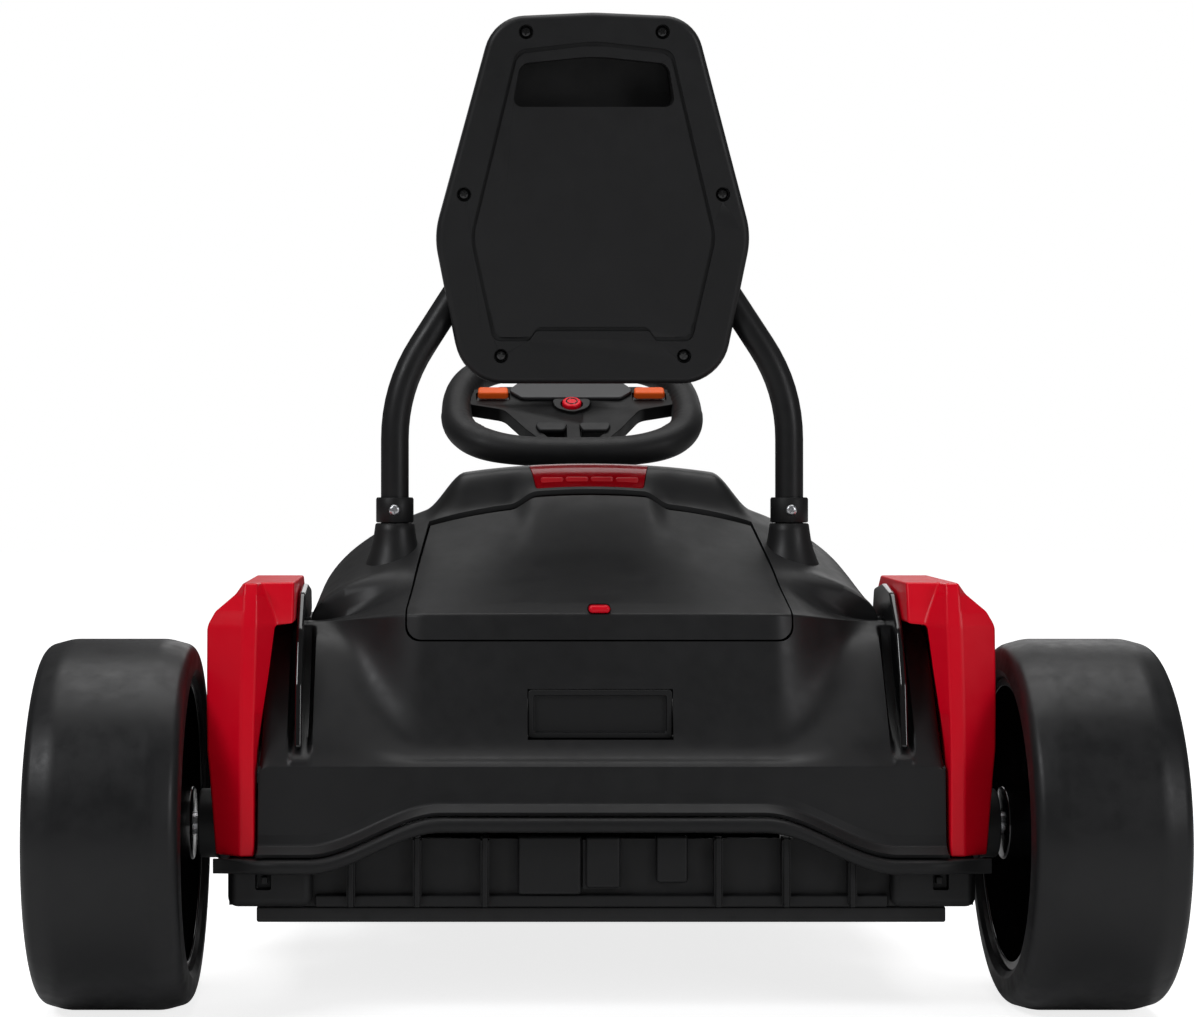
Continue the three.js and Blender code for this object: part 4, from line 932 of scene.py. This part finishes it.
for name, side in SIDES:
    wheel("rear", name, side, REAR_R, 108, 394, 287.4, 26, 8.7, (AXLE_Y, REAR_R * MM), f"rear_wheel_{name}")
    wheel("front", name, side, FRONT_R, 74, 322, 251.4, 20, 7.7, (d2y(FRONT_AXLE_D), FRONT_R * MM),
          f"front_wheel_{name}")
    place = dict(centre=(AXLE_Y, REAR_R * MM), side=side, smooth=40)
    boss = lathe(f"drive_boss_{name}", fillet([(9, 239.8), (30, 239.8, 1), (30, 268, 2), (24.5, 270.5, 1.5),
        (24.5, 283.4, 1.5), (9, 283.4)], 5),
                 0, GREY, turns=72, **place)
    fit(boss, "chassis", [f"gearbox_{name}"])
    case = fillet([(-14, -29.6, 8), (62, -29.6, 22), (78, 0, 30), (62, 29.6, 22), (-14, 29.6, 8)], 8)
    x0, x1 = (239.9, 255.6) if side > 0 else (-255.6, -239.9)
    shell = prism(f"drive_case_{name}", case, x0, x1, DARK, "x", Matrix.Translation((0, *place["centre"])))
    fit(bevel(shell, 2, 4, 40), "chassis", [])
    motor = lathe(f"motor_{name}", fillet([(0, 165.4), (9, 165.4, 1), (9, 168, 1), (25.6, 168, 3),
                                           (25.6, 200, 0.5), (24.8, 201, 0.5), (24.8, 203, 0.5),
                                           (25.6, 204, 0.5), (25.6, 239, 1), (0, 239)], 4), 0, ZINC, turns=64,
                  side=side, centre=(d2y(50), REAR_R * MM), smooth=40)
    fit(motor, "chassis", [f"drive_motor_{name}"])


# ---------------------------------------------------------------- tub and the apron under the lip
def softened(node, width, cutters=(), extra=()):
    """A fine copy of a CAD node: flat faces joined, parts cut off or added, and its edges rounded."""
    me = NODES[node].data.copy()
    obj = bpy.data.objects.new(f"fine_{node}", me)
    SCENE.collection.objects.link(obj)
    bm = bmesh.new()
    bm.from_mesh(me)
    bmesh.ops.remove_doubles(bm, verts=bm.verts, dist=1e-6)
    bmesh.ops.dissolve_limit(bm, angle_limit=math.radians(1), verts=bm.verts, edges=bm.edges)
    bm.to_mesh(me)
    bm.free()
    cut(obj, *cutters)
    cut(obj, *extra, op="UNION")
    return bevel(obj, width, 3, 35)


off, lumps = [], []
for name, side in SIDES:
    off.append(box_mm("cutter", sorted((side * 199, side * 270)), (-70, -46.6), (70, 125)))
    lump = round_box("lump", sorted((side * 200.5, side * 259.4)), (-58.3, -40), (79.7, 117.6), DARK, 7, 6)
    hole = sorted((side * 229, side * 240))
    cut(lump, round_box("cutter", hole, (-64, -52), (92, 104), DARK, 1.5, 3))
    lumps.append(lump)
    tab = sorted((side * 231.5, side * 236))
    fit(round_box(f"apron_tab_{name}", tab, (-57.5, -51), (96, 101), DARK, 0.8, 2), "chassis", [])
tub = softened("lower_chassis", 1.1, off, lumps)
fit(tub, "chassis", ["lower_chassis"])
for i, x in enumerate((-174, -128, -81, 81, 128, 174)):
    rib = [(x - 1.9, -55.6, 128), (x + 1.9, -55.6, 128), (x + 3.2, -45.5, 128), (x - 3.2, -45.5, 128)]
    low = [(x - 1.9, -57.4, 80), (x + 1.9, -57.4, 80), (x + 3.2, -45.5, 80), (x - 3.2, -45.5, 80)]
    piece = make(f"apron_rib_{i}", [(p * MM, d2y(d), z * MM) for p, d, z in rib + low],
                 [(0, 1, 2, 3), (4, 5, 6, 7), (0, 1, 5, 4), (1, 2, 6, 5), (2, 3, 7, 6), (3, 0, 4, 7)], DARK)
    fit(bevel(piece, 0.8, 3), "chassis", [])
for i, (x, z, d) in enumerate((((-58, -14), (88, 129), -54), ((-11, 13), (93, 129), -56.5),
                               ((38, 60), (96, 129), -53))):
    fit(round_box(f"apron_boss_{i}", x, (d, -45), z, DARK, 2.4, 4), "chassis", [])
fit(round_box("apron_sill", (-199, 199), (-52.5, -45.5), (79.4, 87.5), DARK, 1.5, 3), "chassis", [])


# ---------------------------------------------------------------- nose, side pods, bumper and seat
def skin(name, rows, thickness, look, centre):
    """An open sheet over a grid of points in metres, thickened towards a centre function."""
    points, faces = grid(rows)
    me = bpy.data.meshes.new(name)
    me.from_pydata([tuple(p) for p in points], [], faces)
    obj = bpy.data.objects.new(name, me)
    SCENE.collection.objects.link(obj)
    me.materials.append(look)
    me.update()
    score = sum((p.normal.dot(p.center - centre(p.center)) > 0) - 0.5 for p in me.polygons)
    if score < 0:
        me.flip_normals()
    settle(obj, ("SOLIDIFY", dict(thickness=thickness * MM, offset=-1, use_even_offset=False)))
    return shade(obj, 40)


NOSE = [(428, 150, 318), (434, 151, 331), (442, 151, 336), (500, 149.5, 338), (570, 146, 322),
        (640, 142, 294), (720, 140, 262), (800, 139.5, 232), (860, 132, 200), (880, 122, 180),
        (887, 116, 164)]
stations = spline([Vector(p) for p in NOSE], 8)
rows = []
for s in stations:
    row = []
    for j in range(73):
        t = math.pi * (1 - j / 72)
        c, q = math.cos(t), math.sin(t)
        x = s.y * math.copysign(abs(c) ** 0.6, c)
        z = 127 + (s.z - 127) * abs(q) ** 0.7
        row.append(Vector((x * MM, d2y(s.x), z * MM)))
    rows.append(row)
nose = skin("nose", rows, 3, BLACK, lambda p: Vector((0, p.y, 0.127)))
bore = prism("cutter", disc(12, 0, 0), -360, -40, BLACK, "z", HELM)
cut(nose, bore)
fit(bevel(nose, 0.9, 3, 50), "chassis", ["nose_cowl"])

POD_LINE = [(265, 112), (267.5, 146), (268, 180), (262, 235), (250, 253), (232, 257), (214, 254), (203, 240),
            (197.5, 212), (196.8, 190), (196.8, 150), (196.8, 112)]
POD_STATIONS = [(168.8, 0.962), (182, 0.985), (200, 1), (290, 1), (380, 1), (480, 0.96), (520, 0.87),
                (545, 0.72), (559.5, 0.55)]
line = spline([Vector((*p, 0)) for p in POD_LINE], 6)
for name, side in SIDES:
    rows = [[Vector((side * (233 + (p.x - 233) * lerp(1, s.y, 0.5)) * MM, d2y(s.x),
                     (112 + (p.y - 112) * s.y) * MM)) for p in line]
            for s in spline([Vector((*q, 0)) for q in POD_STATIONS], 6)]
    pod = skin(f"pod_{name}", rows, 3, BLACK, lambda p, s=side: Vector((s * 0.233, p.y, 0.15)))
    fit(bevel(pod, 0.8, 2, 60), "chassis", [f"side_pod_{name}"])

rows = []
for x in np.linspace(-235.6, 235.6, 97):
    a = abs(x)
    bow = 932.6 - 44 * (a / 236) ** 2.4
    inner = lerp(888.6, bow - 26, ease(141, 150, a))
    end = 1 - 0.35 * ease(215, 236, a)
    section = fillet([(inner, 121 - 29 * end, 4), (bow - 5, 121 - 29 * end, 8), (bow, 104, 8), (bow, 136, 10),
                      (bow - 8, 121 + 29 * end, 8), (inner, 121 + 29 * end, 4)], 6)
    rows.append([(x * MM, d2y(d), z * MM) for d, z in section])
fit(bevel(capped("nose_bumper", rows, BLACK), 3, 4, 60), "chassis", ["front_bumper"])

cushion_plan = [(-134, 184, 26), (134, 184, 26), (128, 386, 42), (-128, 386, 42)]
cushion = prism("seat_squab", fillet(cushion_plan, 8), 170, 197, CUSHION, "z", ON_AXLE)
bevel(cushion, 8, 4, 50)
stuff(cushion, 8, lambda p: Vector((p.x, p.y, max(168.7 * MM, min(p.z, 209 * MM)))))
fit(cushion, "chassis", ["seat_cushion"])
edge = [Vector((x * MM, d2y(d), 173 * MM)) for x, d in fillet([(-138, 180, 28), (138, 180, 28),
    (132, 390, 44), (-132, 390, 44)], 10)]
fit(tube("squab_piping", edge, 2.4 * MM, LEATHER, 12, closed=True), "chassis", [])

for name, side in SIDES:
    plan = [Vector((side * x, d, 260)) for x, d in ((62, 196), (70, 250), (68, 320), (54, 372))]
    seam(f"squab_seam_{name}", cushion, plan, ON_AXLE, (0, 0, -1))
seam("squab_cross_seam", cushion, [Vector((x, 214 - 0.0009 * x * x, 260)) for x in (-108, -40, 40, 108)],
     ON_AXLE, (0, 0, -1))

# ---------------------------------------------------------------- pedals
PEDAL_X = 62  # from the middle to each pedal
PEDAL_AT = Matrix.Translation((0, d2y(800), 108 * MM))  # the pedals' pivot
for name, side in (("brake", -1), ("throttle", 1)):
    profile = fillet([(-7, -2, 3), (-2, -7, 3), (7, 0, 4), (6, 4, 3), (-36, 84, 2), (-42, 81, 2)], 5)
    x0 = side * PEDAL_X - 25.8
    foot = prism(f"{name}_pad", profile, x0, x0 + 51.6, DARK, "x", PEDAL_AT)
    fit(bevel(foot, 2, 4, 40), f"{name}_pedal", [f"{name}_pedal"])
    parts = []
    for i in range(6):
        t = 0.22 + 0.13 * i
        at = Vector((0, lerp(-3.5, -38.5, t) - 4.5, lerp(4, 82, t)))
        p, f = block((x0 + 6, x0 + 45.6), (-1.6, 1.6), (-2.2, 2.2))
        parts.append(([Matrix.Rotation(0.45, 3, "X") @ v + at for v in p], f))
    ribs = gather(f"{name}_grips", parts, TREAD, PEDAL_AT)
    fit(bevel(ribs, 0.9, 3, 40), f"{name}_pedal", [])

for node, width, body in (("skid_plate", 1.5, "chassis"), ("battery", 4, "chassis"),
                          ("front_axle_beam", 1, "chassis"), ("column_bracket", 1.5, "chassis"),
                          ("seat_base", 4, "chassis"), ("steering_knuckle_left", 1, "knuckle_left"),
                          ("steering_knuckle_right", 1, "knuckle_right"), ("tie_rod", 0.8, "tie_rod"),
                          ("steering_column", 0.8, "steering"), ("rear_axle", 0.6, "chassis")):
    fit(softened(node, width), body, [node])
